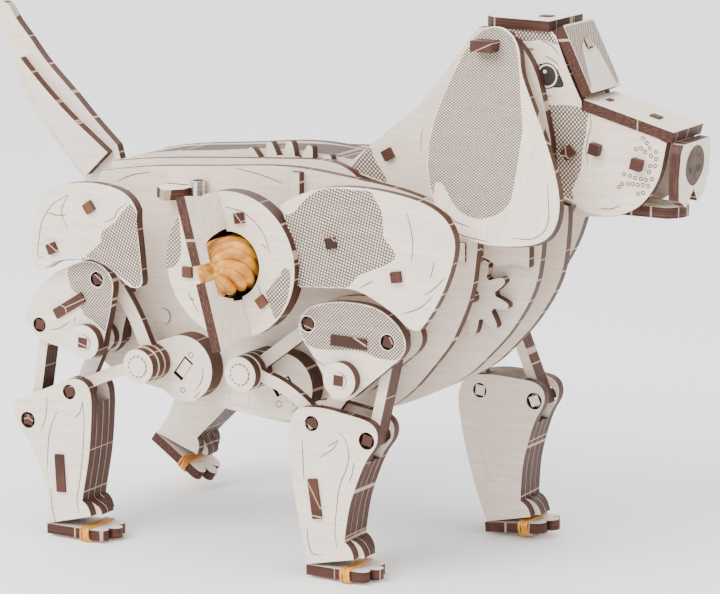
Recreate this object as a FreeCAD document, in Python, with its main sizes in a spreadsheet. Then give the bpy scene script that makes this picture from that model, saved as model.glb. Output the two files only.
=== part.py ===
import FreeCAD, Part
import Sketcher
import math
import os

V = FreeCAD.Vector
doc = FreeCAD.newDocument("walking_dog")
sheet = doc.addObject("Spreadsheet::Sheet", "Dims")

# driving sizes, millimetres
CELLS = [
    ("ply", 4.0), ("rod_ply", 3.4), ("peg_hole_radius", 2.92), ("peg_side", 4.0),
    ("pivot_radius", 3.0), ("pivot_bore", 3.07), ("crank_pin_radius", 3.9), ("rod_eye_radius", 4.75),
    ("shaft_radius", 4.0), ("shaft_bore", 4.07), ("washer_radius", 6.7), ("gear_ply", 3.8),
    ("layer_outer", 48.0), ("layer_core_a", 43.85), ("layer_core_b", 39.6), ("layer_inner", 35.35),
    ("layer_lower_rod", 44.2), ("layer_upper_rod", 40.0), ("layer_cover", 52.6), ("layer_panel", 26.6),
    ("layer_frame", 8.5), ("layer_neck", 12.8), ("layer_step", 17.1), ("layer_gear", 12.9),
    ("crank_thick", 8.1), ("layer_crank", 31.0), ("shin_hole_radius", 3.3), ("wheel_radius", 27.5),
    ("wheel_bore", 12.6), ("band_thick", 1.2), ("mid_shift", 11.9), ("tail_core_half", 2.0), ("deck_width", 16.8), ("deck_half", 8.4), ("sole_thick", 4.0),
]
for i, (name, val) in enumerate(CELLS):
    sheet.set("A%d" % (i + 1), name)
    sheet.set("B%d" % (i + 1), str(val))
    sheet.setAlias("B%d" % (i + 1), name)
doc.recompute()
DIM = dict(CELLS)

X0 = -20.755
Z0 = 0.75
OUT = {"front_shank": [["S", [[-3.84, 5.7], [1.11, 6.29], [8.65, 6.05], [14.43, 5.19], [21.32, 4.16], [25.34, 2.74], [27.34, 0.68], [27.93, -2.08], [27.09, -5.53], [24.81, -8.9], [21.96, -13.91], [19.68, -19.38], [17.68, -24.83], [16.13, -30.24], [15.11, -35.59], [14.54, -39.32], [14.08, -43.57]]], ["S", [[14.08, -43.57], [15.83, -44.79], [17.28, -46.89], [17.93, -49.73]]], ["L", [[17.93, -49.73], [-1.51, -54.06]]], ["S", [[-1.51, -54.06], [-3.86, -43.96], [-5.92, -35.29], [-7.68, -26.07], [-9.08, -15.78], [-9.77, -8.02], [-9.77, -3.85], [-9.06, -0.38], [-7.65, 2.65], [-5.77, 4.75], [-3.84, 5.7]]]], "front_shank_core": [["S", [[22.57, -12.84], [21.96, -13.91], [19.68, -19.38], [17.68, -24.83], [16.13, -30.24], [15.11, -35.59], [14.54, -39.32], [14.08, -43.57]]], ["S", [[14.08, -43.57], [17.6, -44.79], [19.48, -46.89], [20.33, -49.73]]], ["L", [[20.33, -49.73], [-1.51, -54.06]]], ["S", [[-1.51, -54.06], [-3.86, -43.96], [-5.92, -35.29], [-7.68, -26.07], [-9.08, -15.78], [-9.77, -8.02], [-9.77, -7.51]]], ["L", [[-9.77, -7.51], [22.57, -12.84]]]], "rear_shank": [["S", [[-24.13, -5.85], [-15.66, -1.79], [-7.27, 1.84], [1.06, 5.19], [4.59, 5.35], [7.8, 4.0], [9.51, 1.28], [10.16, -2.54], [9.97, -10.83], [9.17, -20.7], [7.85, -29.68], [6.56, -36.22], [5.4, -42.68]]], ["S", [[5.4, -42.68], [7.33, -43.91], [8.59, -45.91], [9.26, -48.29]]], ["L", [[9.26, -48.29], [-10.39, -53.5]]], ["S", [[-10.39, -53.5], [-10.4, -47.79], [-10.48, -42.84], [-11.59, -38.02], [-13.57, -32.33], [-16.16, -26.72], [-19.05, -21.64], [-22.57, -17.36], [-24.91, -14.43], [-25.92, -11.09], [-25.62, -8.1], [-24.13, -5.85]]]], "rear_shank_core": [["S", [[10.13, -3.97], [9.97, -10.83], [9.17, -20.7], [7.85, -29.68], [6.56, -36.22], [5.4, -42.68]]], ["S", [[5.4, -42.68], [7.33, -43.91], [10.79, -45.91], [11.66, -48.29]]], ["L", [[11.66, -48.29], [-10.39, -53.5]]], ["S", [[-10.39, -53.5], [-10.4, -47.79], [-10.48, -42.84], [-11.59, -38.02], [-13.57, -32.33], [-16.16, -26.72], [-18.09, -23.33]]], ["L", [[-18.09, -23.33], [10.13, -3.97]]]], "farfront_shank": [["S", [[-3.84, 5.7], [1.11, 6.29], [8.65, 6.05], [14.43, 5.19], [21.32, 4.16], [25.34, 2.74], [27.34, 0.68], [27.93, -2.08], [27.09, -5.53], [24.81, -8.9], [21.96, -13.91], [19.68, -19.38], [17.68, -24.83], [16.13, -30.24], [15.11, -35.59], [14.54, -39.32], [14.08, -43.57]]], ["S", [[14.08, -43.57], [15.83, -44.79], [17.28, -46.89], [17.93, -49.73]]], ["L", [[17.93, -49.73], [-1.51, -52.21]]], ["S", [[-1.51, -52.21], [-3.86, -43.96], [-5.92, -35.29], [-7.68, -26.07], [-9.08, -15.78], [-9.77, -8.02], [-9.77, -3.85], [-9.06, -0.38], [-7.65, 2.65], [-5.77, 4.75], [-3.84, 5.7]]]], "farfront_shank_core": [["S", [[22.57, -12.84], [21.96, -13.91], [19.68, -19.38], [17.68, -24.83], [16.13, -30.24], [15.11, -35.59], [14.54, -39.32], [14.08, -43.57]]], ["S", [[14.08, -43.57], [17.6, -44.79], [19.48, -46.89], [20.33, -49.73]]], ["L", [[20.33, -49.73], [-1.51, -52.21]]], ["S", [[-1.51, -52.21], [-3.86, -43.96], [-5.92, -35.29], [-7.68, -26.07], [-9.08, -15.78], [-9.77, -8.02], [-9.77, -7.51]]], ["L", [[-9.77, -7.51], [22.57, -12.84]]]], "front_rocker": [["S", [[21.22, 8.16], [15.71, 3.46], [9.88, -1.51], [4.9, -5.88]]], ["S", [[4.9, -5.88], [1.66, -8.0], [-1.89, -8.79], [-5.45, -7.78], [-7.54, -4.58], [-8.73, -0.48]]], ["S", [[-8.73, -0.48], [-10.82, 2.99], [-15.59, 9.87]]], ["S", [[-15.59, 9.87], [-18.46, 13.79], [-19.41, 18.97], [-17.38, 22.88], [-13.8, 25.35], [-7.87, 27.44], [-1.97, 28.36], [5.08, 28.56], [12.69, 27.57], [17.93, 25.21], [21.72, 22.28], [24.34, 18.66], [25.3, 14.35], [23.81, 10.8], [21.22, 8.16]]]], "rear_rocker": [["S", [[8.03, 6.29], [7.18, 3.34], [6.32, -1.33]]], ["S", [[6.32, -1.33], [3.71, -5.63], [-0.35, -7.68], [-5.05, -7.17], [-8.39, -4.78]]], ["S", [[-8.39, -4.78], [-16.5, -3.53], [-22.26, -2.02], [-26.65, 0.86], [-29.05, 4.37], [-29.25, 7.82], [-27.26, 11.78], [-23.6, 17.33], [-18.75, 22.3], [-13.95, 25.64], [-9.19, 27.93], [-4.46, 29.99], [0.24, 30.84], [4.57, 30.12], [8.53, 27.68], [10.79, 23.65], [10.38, 17.36], [9.3, 11.56], [8.03, 6.29]]]], "front_upper_rod": [["L", [[-2.09, -4.76], [-22.48, -20.41]]], ["A", [[-22.48, -20.41], [-34.74, -26.67], [-25.53, -16.44]]], ["L", [[-25.53, -16.44], [-5.14, -0.79]]], ["A", [[-5.14, -0.79], [4.12, 3.17], [-2.09, -4.76]]]], "rear_upper_rod": [["S", [[5.01, -1.41], [8.15, -5.59], [10.87, -9.52], [13.34, -13.59], [15.56, -17.8], [17.54, -22.15], [18.95, -25.06]]], ["A", [[18.95, -25.06], [20.09, -38.74], [13.77, -26.56]]], ["S", [[13.77, -26.56], [12.56, -24.24], [10.71, -20.18], [8.64, -16.25], [6.34, -12.46], [3.8, -8.79], [1.06, -5.09]]], ["A", [[1.06, -5.09], [-3.55, 3.8], [5.01, -1.41]]]], "front_lower_rod": [["S", [[-4.69, 1.73], [-7.98, 4.21], [-11.38, 6.54], [-14.94, 8.5], [-18.68, 10.09], [-22.6, 11.33], [-24.42, 12.22]]], ["A", [[-24.42, 12.22], [-37.82, 15.54], [-24.07, 16.81]]], ["S", [[-24.07, 16.81], [-21.43, 15.78], [-17.08, 14.41], [-12.92, 12.63], [-8.96, 10.45], [-5.2, 7.88], [-1.3, 4.83]]], ["A", [[-1.3, 4.83], [3.37, -3.69], [-4.69, 1.73]]]], "rear_lower_rod": [["S", [[2.61, 4.26], [6.48, 6.24], [10.41, 8.17], [14.4, 9.96], [18.44, 11.6], [22.55, 13.11], [24.56, 13.97]]], ["A", [[24.56, 13.97], [38.3, 15.31], [25.76, 9.53]]], ["S", [[25.76, 9.53], [24.06, 8.76], [20.1, 7.31], [16.2, 5.73], [12.36, 4.01], [8.58, 2.15], [4.99, 0.32]]], ["A", [[4.99, 0.32], [-4.28, -2.58], [2.61, 4.26]]]], "front_lever": [["L", [[-0.2, -5.6], [-9.24, -17.64]]], ["A", [[-9.24, -17.64], [-17.11, -22.79], [-14.36, -13.8]]], ["L", [[-14.36, -13.8], [-5.32, -1.75]]], ["A", [[-5.32, -1.75], [3.36, 4.48], [-0.2, -5.6]]]], "rear_lever": [["L", [[0.99, -5.51], [-5.31, -19.2]]], ["A", [[-5.31, -19.2], [-11.91, -25.89], [-11.12, -16.52]]], ["L", [[-11.12, -16.52], [-4.83, -2.84]]], ["A", [[-4.83, -2.84], [2.34, 5.09], [0.99, -5.51]]]], "hip_cover": [["S", [[-30.33, 132.2], [-29.78, 121.59], [-28.38, 107.97], [-28.87, 104.09], [-31.7, 103.03], [-39.14, 106.9], [-46.74, 111.16], [-53.06, 112.47], [-58.07, 112.38], [-62.79, 110.84], [-68.19, 108.49], [-72.97, 106.16], [-76.97, 107.05], [-78.49, 112.36], [-78.13, 119.0], [-76.57, 128.06], [-72.77, 134.58], [-67.2, 138.52], [-59.42, 140.72], [-50.36, 141.5], [-43.17, 140.97], [-36.04, 138.92], [-30.33, 132.2]]]], "shoulder_cover": [["S", [[31.84, 139.99], [40.3, 144.99], [49.53, 148.0], [59.1, 149.37], [71.48, 149.34], [83.75, 147.86], [93.91, 145.13], [100.8, 140.33], [103.87, 134.1], [102.95, 124.6], [99.81, 115.55], [94.63, 105.89], [90.19, 99.69]]], ["S", [[90.19, 99.69], [86.1, 99.84], [80.75, 103.7], [74.55, 107.47], [68.75, 110.2], [62.94, 111.83], [57.52, 111.95], [48.72, 111.29], [41.55, 110.79], [38.37, 110.84], [37.23, 112.97], [36.9, 122.63], [35.22, 130.65], [33.53, 136.43], [31.84, 139.99]]]], "side_panel": [["S", [[99.69, 129.52], [99.65, 125.82], [99.17, 121.34], [98.42, 114.96], [96.85, 107.74], [94.86, 102.1], [92.04, 95.52], [89.19, 89.93], [84.52, 83.59], [79.89, 77.79], [75.58, 72.75], [65.94, 64.4], [54.48, 58.45], [40.31, 54.05], [25.1, 51.82], [7.5, 52.43], [-19.31, 55.64], [-42.03, 59.21], [-58.12, 63.34], [-68.69, 72.13], [-73.18, 83.6], [-73.89, 97.44], [-71.78, 113.46], [-67.82, 129.55], [-63.03, 141.29]]], ["S", [[-63.03, 141.29], [-41.09, 144.87], [-9.75, 147.65], [25.16, 149.79], [46.52, 147.83], [67.56, 145.15], [86.26, 140.12], [96.57, 135.14], [99.69, 129.52]]]], "frame_plate": [["S", [[117.12, 137.5], [117.21, 131.21], [116.89, 125.72], [116.36, 119.98], [114.85, 112.0], [112.05, 104.83], [107.56, 97.0], [103.02, 90.67], [96.15, 83.03], [87.39, 74.58], [77.34, 68.19], [58.22, 59.4], [36.58, 53.32], [14.55, 50.69], [-7.83, 51.59], [-30.57, 54.11], [-53.63, 59.49], [-68.49, 68.73], [-74.84, 86.19], [-75.03, 106.24], [-72.4, 126.42], [-67.51, 142.67]]], ["S", [[-67.51, 142.67], [-52.67, 146.64], [-20.84, 150.37], [14.62, 153.23], [34.16, 151.76], [57.67, 151.05], [91.21, 144.51], [117.12, 137.5]]]], "step_plate": [["S", [[-64.71, 143.7], [-47.23, 146.11], [-15.64, 148.89], [19.57, 151.38], [36.83, 150.53], [45.39, 145.59]]], ["S", [[45.39, 145.59], [36.85, 137.29], [10.82, 133.09], [-24.72, 129.94], [-56.6, 129.08], [-64.71, 143.7]]]], "neck_plate": [["S", [[36.17, 149.12], [51.49, 161.67], [68.25, 175.27]]], ["S", [[68.25, 175.27], [78.54, 187.84], [90.32, 203.3]]], ["S", [[90.32, 203.3], [100.89, 204.7], [113.15, 194.6], [119.44, 176.86], [122.54, 158.85], [119.95, 143.95], [113.85, 131.58]]], ["L", [[113.85, 131.58], [113.84, 118.22]]], ["S", [[113.84, 118.22], [110.98, 118.69], [106.88, 119.03], [101.97, 117.81], [97.88, 115.54], [94.61, 112.78]]], ["S", [[94.61, 112.78], [94.08, 123.03], [89.43, 131.94], [76.9, 138.3], [55.82, 143.98], [36.17, 149.12]]]], "head_plate": [["S", [[89.72, 204.63], [96.66, 205.43], [106.81, 206.07], [116.88, 206.15], [121.33, 203.36]]], ["S", [[121.33, 203.36], [126.33, 191.37], [132.93, 178.41]]], ["S", [[132.93, 178.41], [149.25, 173.84], [165.62, 167.72]]], ["S", [[165.62, 167.72], [164.41, 160.96], [162.8, 154.67], [159.98, 149.36], [155.76, 144.44], [150.31, 141.22], [143.84, 139.54], [137.22, 139.68], [133.0, 140.77], [129.13, 143.74]]], ["S", [[129.13, 143.74], [123.88, 145.12], [117.73, 150.49], [107.33, 168.06], [94.86, 185.53], [89.72, 204.63]]]], "tail_core": [["S", [[-130.38, 199.8], [-126.38, 199.53], [-123.08, 195.4], [-116.48, 187.66], [-109.3, 179.22], [-100.92, 171.14], [-93.75, 164.52], [-86.61, 157.42], [-79.49, 150.85], [-74.75, 146.65]]], ["L", [[-74.75, 146.65], [-73.2, 141.2], [-60.6, 136.9], [-60.6, 130.3], [-74.0, 130.3], [-82.0, 129.6], [-89.43, 130.64]]], ["S", [[-89.43, 130.64], [-95.41, 136.81], [-102.59, 144.43], [-108.59, 151.15], [-113.99, 157.93], [-116.38, 161.34], [-119.96, 167.24], [-124.06, 177.72], [-127.53, 188.75], [-130.38, 199.8]]]], "tail_side": [["S", [[-117.57, 178.86], [-110.37, 171.46], [-101.38, 163.19], [-92.42, 155.72], [-84.67, 149.97], [-76.65, 144.0]]], ["L", [[-76.65, 144.0], [-86.71, 134.26]]], ["S", [[-86.71, 134.26], [-92.68, 139.64], [-99.82, 148.27], [-104.6, 153.52], [-108.15, 159.38], [-111.71, 165.25], [-115.84, 173.12], [-117.57, 178.86]]]], "ear": [["P", [[91.46, 1.79], [94.14, 4.52], [98.43, 5.96], [103.36, 5.47], [107.4, 2.45], [110.08, -2.46], [111.45, -8.18], [114.61, -15.22], [118.84, -22.88], [123.6, -31.55], [127.95, -40.23], [131.5, -48.94], [133.23, -55.98], [132.96, -62.84], [130.79, -67.36], [126.8, -70.25], [119.83, -71.98], [111.89, -72.73], [103.76, -72.4], [96.58, -70.51], [90.39, -67.06], [84.68, -61.35], [80.84, -54.35], [78.62, -47.19], [77.88, -38.8], [78.78, -30.28], [81.26, -21.27], [84.2, -12.62], [87.58, -4.32]]]]}
LINK = {"fr": {"O": [22.6, 67.8], "P": [11.65, 73.62], "B": [56.6, 77.4], "C": [40.84, 96.03], "D": [74.28, 92.73], "A": [42.49, 58.61], "E": [65.78, 54.77]}, "rr": {"O": [-21.4, 69.8], "P": [-33.68, 71.53], "B": [-55.4, 79.4], "C": [-51.83, 103.54], "D": [-78.5, 83.11], "A": [-65.22, 58.05], "E": [-84.68, 44.7]}, "fl": {"O": [22.6, 67.8], "P": [33.55, 61.98], "B": [56.6, 77.4], "C": [42.88, 97.58], "D": [75.79, 90.79], "A": [67.41, 56.54], "E": [90.96, 54.98]}, "rl": {"O": [-21.4, 69.8], "P": [-9.12, 68.07], "B": [-55.4, 79.4], "C": [-35.59, 93.64], "D": [-68.83, 98.57], "A": [-42.41, 59.82], "E": [-66.01, 59.77]}}
TURN = {"fr": {"rocker": 0.0, "lever": 0.0, "shank": 0.0, "shin": 0.0, "upper": 0.0, "lower": 0.0}, "fl": {"rocker": -6.0066, "lever": 64.2965, "shank": 5.5698, "shin": 35.5882, "upper": 37.8023, "lower": 16.8297}, "rr": {"rocker": 0.0, "lever": 0.0, "shank": 0.0, "shin": 0.0, "upper": 0.0, "lower": 0.0}, "rl": {"rocker": -45.8779, "lever": 58.2571, "shank": -34.3384, "shin": 13.2844, "upper": 16.4355, "lower": -9.1997}}


def sk_plane(body, role):
    for f in body.Origin.OriginFeatures:
        if getattr(f, "Role", "") == role:
            return f


def add_run(sk, kind, pts, vert):
    v = [V(p[0], p[1], 0) for p in pts]
    if kind == "L":
        for a, b in zip(v[:-1], v[1:]):
            sk.addGeometry(Part.LineSegment(a, b), False)
    elif kind == "A":
        sk.addGeometry(Part.Arc(v[0], v[1], v[2]), False)
    elif kind == "S":
        c = Part.BSplineCurve()
        c.interpolate(v)
        sk.addGeometry(c, False)
    elif kind == "P":
        c = Part.BSplineCurve()
        c.interpolate(v, PeriodicFlag=True)
        sk.addGeometry(c, False)


ALL = []


def plate(label, runs, circles=(), slots=(), alias="ply", role="XZ_Plane", place=None, yexpr=None, cuts=(), trims=()):
    """A laser-cut ply: profile sketch, pad, and round cuts afterwards."""
    b = doc.addObject("PartDesign::Body", label)
    b.Label = label
    sk = b.newObject("Sketcher::SketchObject", label + "_profile")
    sk.AttachmentSupport = [(sk_plane(b, role), "")]
    sk.MapMode = "FlatFace"
    for kind, pts in runs:
        add_run(sk, kind, pts, None)
    for (cx, cz, al) in circles:
        gi = sk.addGeometry(Part.Circle(V(cx, cz, 0), V(0, 0, 1), DIM[al]), False)
        ci = sk.addConstraint(Sketcher.Constraint("Radius", gi, DIM[al]))
        sk.setExpression("Constraints[%d]" % ci, "Dims.%s" % al)
    for s in slots:
        pts = list(s) + [s[0]]
        add_run(sk, "L", pts, None)
    pad = b.newObject("PartDesign::Pad", label + "_pad")
    pad.Profile = sk
    pad.setExpression("Length", "Dims.%s" % alias)
    sk.Visibility = False
    last = pad
    for k, (cx, cz, r) in enumerate(cuts):
        s2 = b.newObject("Sketcher::SketchObject", label + "_cut%d" % k)
        s2.AttachmentSupport = [(sk_plane(b, role), "")]
        s2.MapMode = "FlatFace"
        s2.addGeometry(Part.Circle(V(cx, cz, 0), V(0, 0, 1), r), False)
        p2 = b.newObject("PartDesign::Pocket", label + "_pocket%d" % k)
        p2.Profile = s2
        p2.Type = 1
        p2.Midplane = True
    for k, poly in enumerate(trims):
        s2 = b.newObject("Sketcher::SketchObject", label + "_trim%d" % k)
        s2.AttachmentSupport = [(sk_plane(b, role), "")]
        s2.MapMode = "FlatFace"
        add_run(s2, "L", list(poly) + [poly[0]], None)
        p2 = b.newObject("PartDesign::Pocket", label + "_trimmed%d" % k)
        p2.Profile = s2
        p2.Type = 1
        p2.Midplane = True
    b.Placement = place or FreeCAD.Placement()
    if yexpr:
        b.setExpression(".Placement.Base.y", yexpr)
    ALL.append(b)
    return b


def yx(layer, side, alias="ply"):
    """pad grows toward -Y from the body's plane"""
    if side < 0:
        return "-Dims.%s" % layer
    return "Dims.%s + Dims.%s" % (layer, alias)


def turn(x, z, deg=0.0):
    return FreeCAD.Placement(V(x, 0, z), FreeCAD.Rotation(V(0, -1, 0), deg))


def W(p):
    return (p[0] + X0, p[1] + Z0)


def box(label, x0, x1, y0, y1, z0, z1, rot=0.0, expr=None):
    o = doc.addObject("Part::Box", label)
    o.Label = label
    o.Length, o.Width, o.Height = x1 - x0, y1 - y0, z1 - z0
    if rot:
        cx, cz = (x0 + x1) / 2.0, (z0 + z1) / 2.0
        r = FreeCAD.Rotation(V(0, -1, 0), rot)
        off = r.multVec(V(-(x1 - x0) / 2.0, 0, -(z1 - z0) / 2.0))
        o.Placement = FreeCAD.Placement(V(cx + off.x, y0, cz + off.z), r)
    else:
        o.Placement = FreeCAD.Placement(V(x0, y0, z0), FreeCAD.Rotation())
    for k, e in (expr or {}).items():
        o.setExpression(k, e)
    ALL.append(o)
    return o


def cyl(label, x, z, y0, y1, r, alias=None):
    o = doc.addObject("Part::Cylinder", label)
    o.Label = label
    o.Radius = r
    if alias:
        o.setExpression("Radius", "Dims.%s" % alias)
    o.Height = y1 - y0
    o.Placement = FreeCAD.Placement(V(x, y1, z), FreeCAD.Rotation(V(1, 0, 0), 90))
    ALL.append(o)
    return o


def cut(label, a, b):
    o = doc.addObject("Part::Cut", label)
    o.Label = label
    o.Base, o.Tool = a, b
    ALL.append(o)
    return o


def fuse(label, items):
    o = doc.addObject("Part::MultiFuse", label)
    o.Label = label
    o.Shapes = items
    ALL.append(o)
    return o


NODES = {}


def node(name, items):
    """one named sub-part: its solids in a compound, moved so that the box is centred on Y = 0"""
    o = doc.addObject("Part::Compound", name)
    o.Label = name
    o.Links = items
    o.setExpression(".Placement.Base.y", "Dims.mid_shift")
    ALL.append(o)
    NODES[name] = o
    return o


def sq(cx, cz, w, h, rot=0.0):
    a = math.radians(rot)
    out = []
    for sx, sz in ((-1, -1), (1, -1), (1, 1), (-1, 1)):
        x, z = sx * w / 2.0, sz * h / 2.0
        out.append((cx + x * math.cos(a) - z * math.sin(a), cz + x * math.sin(a) + z * math.cos(a)))
    return out


def shift(runs, dx, dz):
    return [[k, [[p[0] + dx, p[1] + dz] for p in pts]] for k, pts in runs]


def mirror_y(runs):
    return runs


# ---------------------------------------------------------------- legs
KEY = {"front": (44.2, 30.2 , 4.1, 15.2, 8.5), "rear": (-69.5, 25.4, 4.1, 15.0, 3.0)}
TAB = {"front": (58.5, 91.2, 15.0, 4.1, -1.5), "rear": (-64.2, 92.2, 15.5, 4.1, 32.0)}
BASE = {"fr": "fr", "fl": "fr", "rr": "rr", "rl": "rr"}
LEGNAME = {"fr": "front_right", "fl": "front_left", "rr": "rear_right", "rl": "rear_left"}
for lg in ("fr", "fl", "rr", "rl"):
    end = "front" if lg[0] == "f" else "rear"
    side = -1 if lg[1] == "r" else 1
    nm = LEGNAME[lg]
    pts, ref, rot = LINK[lg], LINK[BASE[lg]], TURN[lg]

    def P(n):
        return W(pts[n])

    def rel(n, o):
        return (ref[n][0] - ref[o][0], ref[n][1] - ref[o][1])

    def relp(p, o):
        return (p[0] - ref[o][0], p[1] - ref[o][1])

    # rocker: two plies around the pivot, joined by a flat key
    cC, cD = rel("C", "B"), rel("D", "B")
    t = TAB[end]
    tx, tz = relp((t[0], t[1]), "B")
    holes = [(0, 0, "pivot_bore"), (cC[0], cC[1], "peg_hole_radius"), (cD[0], cD[1], "peg_hole_radius")]
    slot = [sq(tx, tz, t[2], t[3], t[4])]
    items = []
    for tag, lay in (("outer", "layer_outer"), ("inner", "layer_inner")):
        items.append(plate("rocker_%s_%s" % (tag, nm), OUT[end + "_rocker"], holes, slot,
                           place=turn(P("B")[0], P("B")[1], rot["rocker"]), yexpr=yx(lay, side)))
    kb = box("rocker_key_" + nm, tx - t[2] / 2 + .05, tx + t[2] / 2 - .05, 0, 17.6, tz - t[3] / 2 + .05, tz + t[3] / 2 - .05, t[4])
    y0 = -53.0 if side < 0 else 35.4
    base = turn(P("B")[0], P("B")[1], rot["rocker"])
    kb.Placement = FreeCAD.Placement(V(0, y0, 0), FreeCAD.Rotation()).multiply(base).multiply(kb.Placement)
    items.append(kb)
    node("rocker_" + nm, items)

    # lever between the fixed pivot and the knee, with its square cross peg
    a = rel("A", "B")
    lv = plate("lever_bar_" + nm, OUT[end + "_lever"], [(0, 0, "pivot_bore")], alias="rod_ply",
               place=turn(P("B")[0], P("B")[1], rot["lever"]), yexpr=yx("layer_upper_rod", side, "rod_ply"))
    lo, hi = (-51.6, -35.7) if side < 0 else (35.7, 51.6)
    pa = box("lever_peg_" + nm, P("A")[0] - 2, P("A")[0] + 2, lo, hi, P("A")[1] - 2, P("A")[1] + 2, 20 + rot["lever"],
             {"Length": "Dims.peg_side", "Height": "Dims.peg_side"})
    node("knee_lever_" + nm, [fuse("knee_lever_solid_" + nm, [lv, pa])])

    # upper rod from the crank pin to the rocker
    pr = rel("P", "C")
    ur = plate("upper_rod_bar_" + nm, OUT[end + "_upper_rod"], [(pr[0], pr[1], "rod_eye_radius")], alias="rod_ply",
               place=turn(P("C")[0], P("C")[1], rot["upper"]), yexpr=yx("layer_upper_rod", side, "rod_ply"))
    pc = box("upper_rod_peg_" + nm, P("C")[0] - 2, P("C")[0] + 2, lo, hi, P("C")[1] - 2, P("C")[1] + 2, 15 + rot["upper"],
             {"Length": "Dims.peg_side", "Height": "Dims.peg_side"})
    node("upper_rod_" + nm, [fuse("upper_rod_solid_" + nm, [ur, pc])])

    # lower rod from the crank pin to the knee
    pr = rel("P", "A")
    node("lower_rod_" + nm, [plate("lower_rod_bar_" + nm, OUT[end + "_lower_rod"],
                                   [(pr[0], pr[1], "rod_eye_radius"), (0, 0, "peg_hole_radius")], alias="rod_ply",
                                   place=turn(P("A")[0], P("A")[1], rot["lower"]), yexpr=yx("layer_lower_rod", side, "rod_ply"))])

    # shin link: a bar set crosswise, square pegs at both ends
    e = (pts["E"][0] - pts["D"][0], pts["E"][1] - pts["D"][1])
    ln = math.hypot(e[0], e[1])
    ang = math.degrees(math.atan2(e[1], e[0]))
    ylo, yhi = (-47.7, -39.7) if side < 0 else (39.7, 47.7)
    d = P("D")
    bar = box("shin_bar_" + nm, -2.9, ln + 2.9, ylo, yhi, -2.0, 2.0, 0, {"Height": "Dims.peg_side"})
    bar.Placement = turn(d[0], d[1], ang).multiply(bar.Placement)
    p1 = box("shin_peg_a_" + nm, -2, 2, lo, hi, -2, 2, 0, {"Length": "Dims.peg_side", "Height": "Dims.peg_side"})
    p1.Placement = turn(d[0], d[1], ang).multiply(p1.Placement)
    p2 = box("shin_peg_b_" + nm, ln - 2, ln + 2, lo, hi, -2, 2, 0, {"Length": "Dims.peg_side", "Height": "Dims.peg_side"})
    p2.Placement = turn(d[0], d[1], ang).multiply(p2.Placement)
    node("shin_link_" + nm, [fuse("shin_link_solid_" + nm, [bar, p1, p2])])

    # lower leg: two long plies, two core plies, the key and the sole
    ce = rel("E", "A")
    k = KEY[end]
    kx, kz = relp((k[0], k[1]), "A")
    holes = [(0, 0, "peg_hole_radius"), (ce[0], ce[1], "shin_hole_radius")]
    slot = [sq(kx, kz, k[2], k[3], k[4])]
    shape = "farfront_shank" if lg == "fl" else end + "_shank"
    items = []
    pl = turn(P("A")[0], P("A")[1], rot["shank"])
    for tag, lay in (("outer", "layer_outer"), ("inner", "layer_inner")):
        items.append(plate("shank_%s_%s" % (tag, nm), OUT[shape], holes, slot, place=pl, yexpr=yx(lay, side)))
    for tag, lay in (("core_a", "layer_core_a"), ("core_b", "layer_core_b")):
        items.append(plate("shank_%s_%s" % (tag, nm), OUT[shape + "_core"], [], slot, place=pl, yexpr=yx(lay, side)))
    kb = box("shank_key_" + nm, kx - k[2] / 2 + .05, kx + k[2] / 2 - .05, 0, 17.6, kz - k[3] / 2 + .05, kz + k[3] / 2 - .05, k[4])
    kb.Placement = FreeCAD.Placement(V(0, -53.0 if side < 0 else 35.4, 0), FreeCAD.Rotation()).multiply(pl).multiply(kb.Placement)
    items.append(kb)
    node("lower_leg_" + nm, items)

    # sole with three toes, and the amber grip band round it
    bot = {"front_shank": 4.55, "farfront_shank": 6.4, "rear_shank": 4.55}[shape]
    heel = 40.4 if end == "front" else -76.2
    toe = 62.0 if end == "front" else -53.6
    ya = -52.3 if side < 0 else 35.0
    c = [ya + 17.3 * f for f in (1 / 6.0, .5, 5 / 6.0)]
    hx, tx_ = heel - ref["A"][0], toe - ref["A"][0]
    ext = [0.8, 3.4, 0.8]
    runs = [["L", [[hx, ya + 17.3], [hx, ya], [tx_ + ext[0], ya]]]]
    r = 17.3 / 6.0
    for n_ in range(3):
        xe = tx_ + ext[n_]
        runs.append(["A", [[xe, c[n_] - r], [xe + r, c[n_]], [xe, c[n_] + r]]])
        if n_ < 2:
            runs.append(["L", [[xe, c[n_] + r], [tx_ + ext[n_ + 1], c[n_] + r]]])
    runs.append(["L", [[tx_ + ext[2], ya + 17.3], [hx, ya + 17.3]]])
    zt = bot - ref["A"][1] - 0.1
    sole = plate("sole_" + nm, runs, alias="sole_thick", role="XY_Plane")
    sole.Placement = turn(P("A")[0], P("A")[1], rot["shank"]).multiply(FreeCAD.Placement(V(0, 0, zt - 4.0), FreeCAD.Rotation()))
    node("paw_sole_" + nm, [sole])
    bx = tx_ - 7.0
    o1 = box("band_out_" + nm, bx, bx + 4.6, ya - 1.2, ya + 18.5, zt - 5.2, zt + 0.05, 0)
    o2 = box("band_in_" + nm, bx - 1, bx + 5.6, ya - 0.08, ya + 17.38, zt - 4.08, zt + 5, 0)
    bc = cut("band_ring_" + nm, o1, o2)
    for o in (o1, o2):
        o.Placement = turn(P("A")[0], P("A")[1], rot["shank"]).multiply(o.Placement)
    node("paw_band_" + nm, [bc])

# ---------------------------------------------------------------- drive train
MOD = 2.7
WH = (12.4 + X0, 116.7 + Z0)
CF, CB = W(LINK["fr"]["O"]), W(LINK["rr"]["O"])


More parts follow.
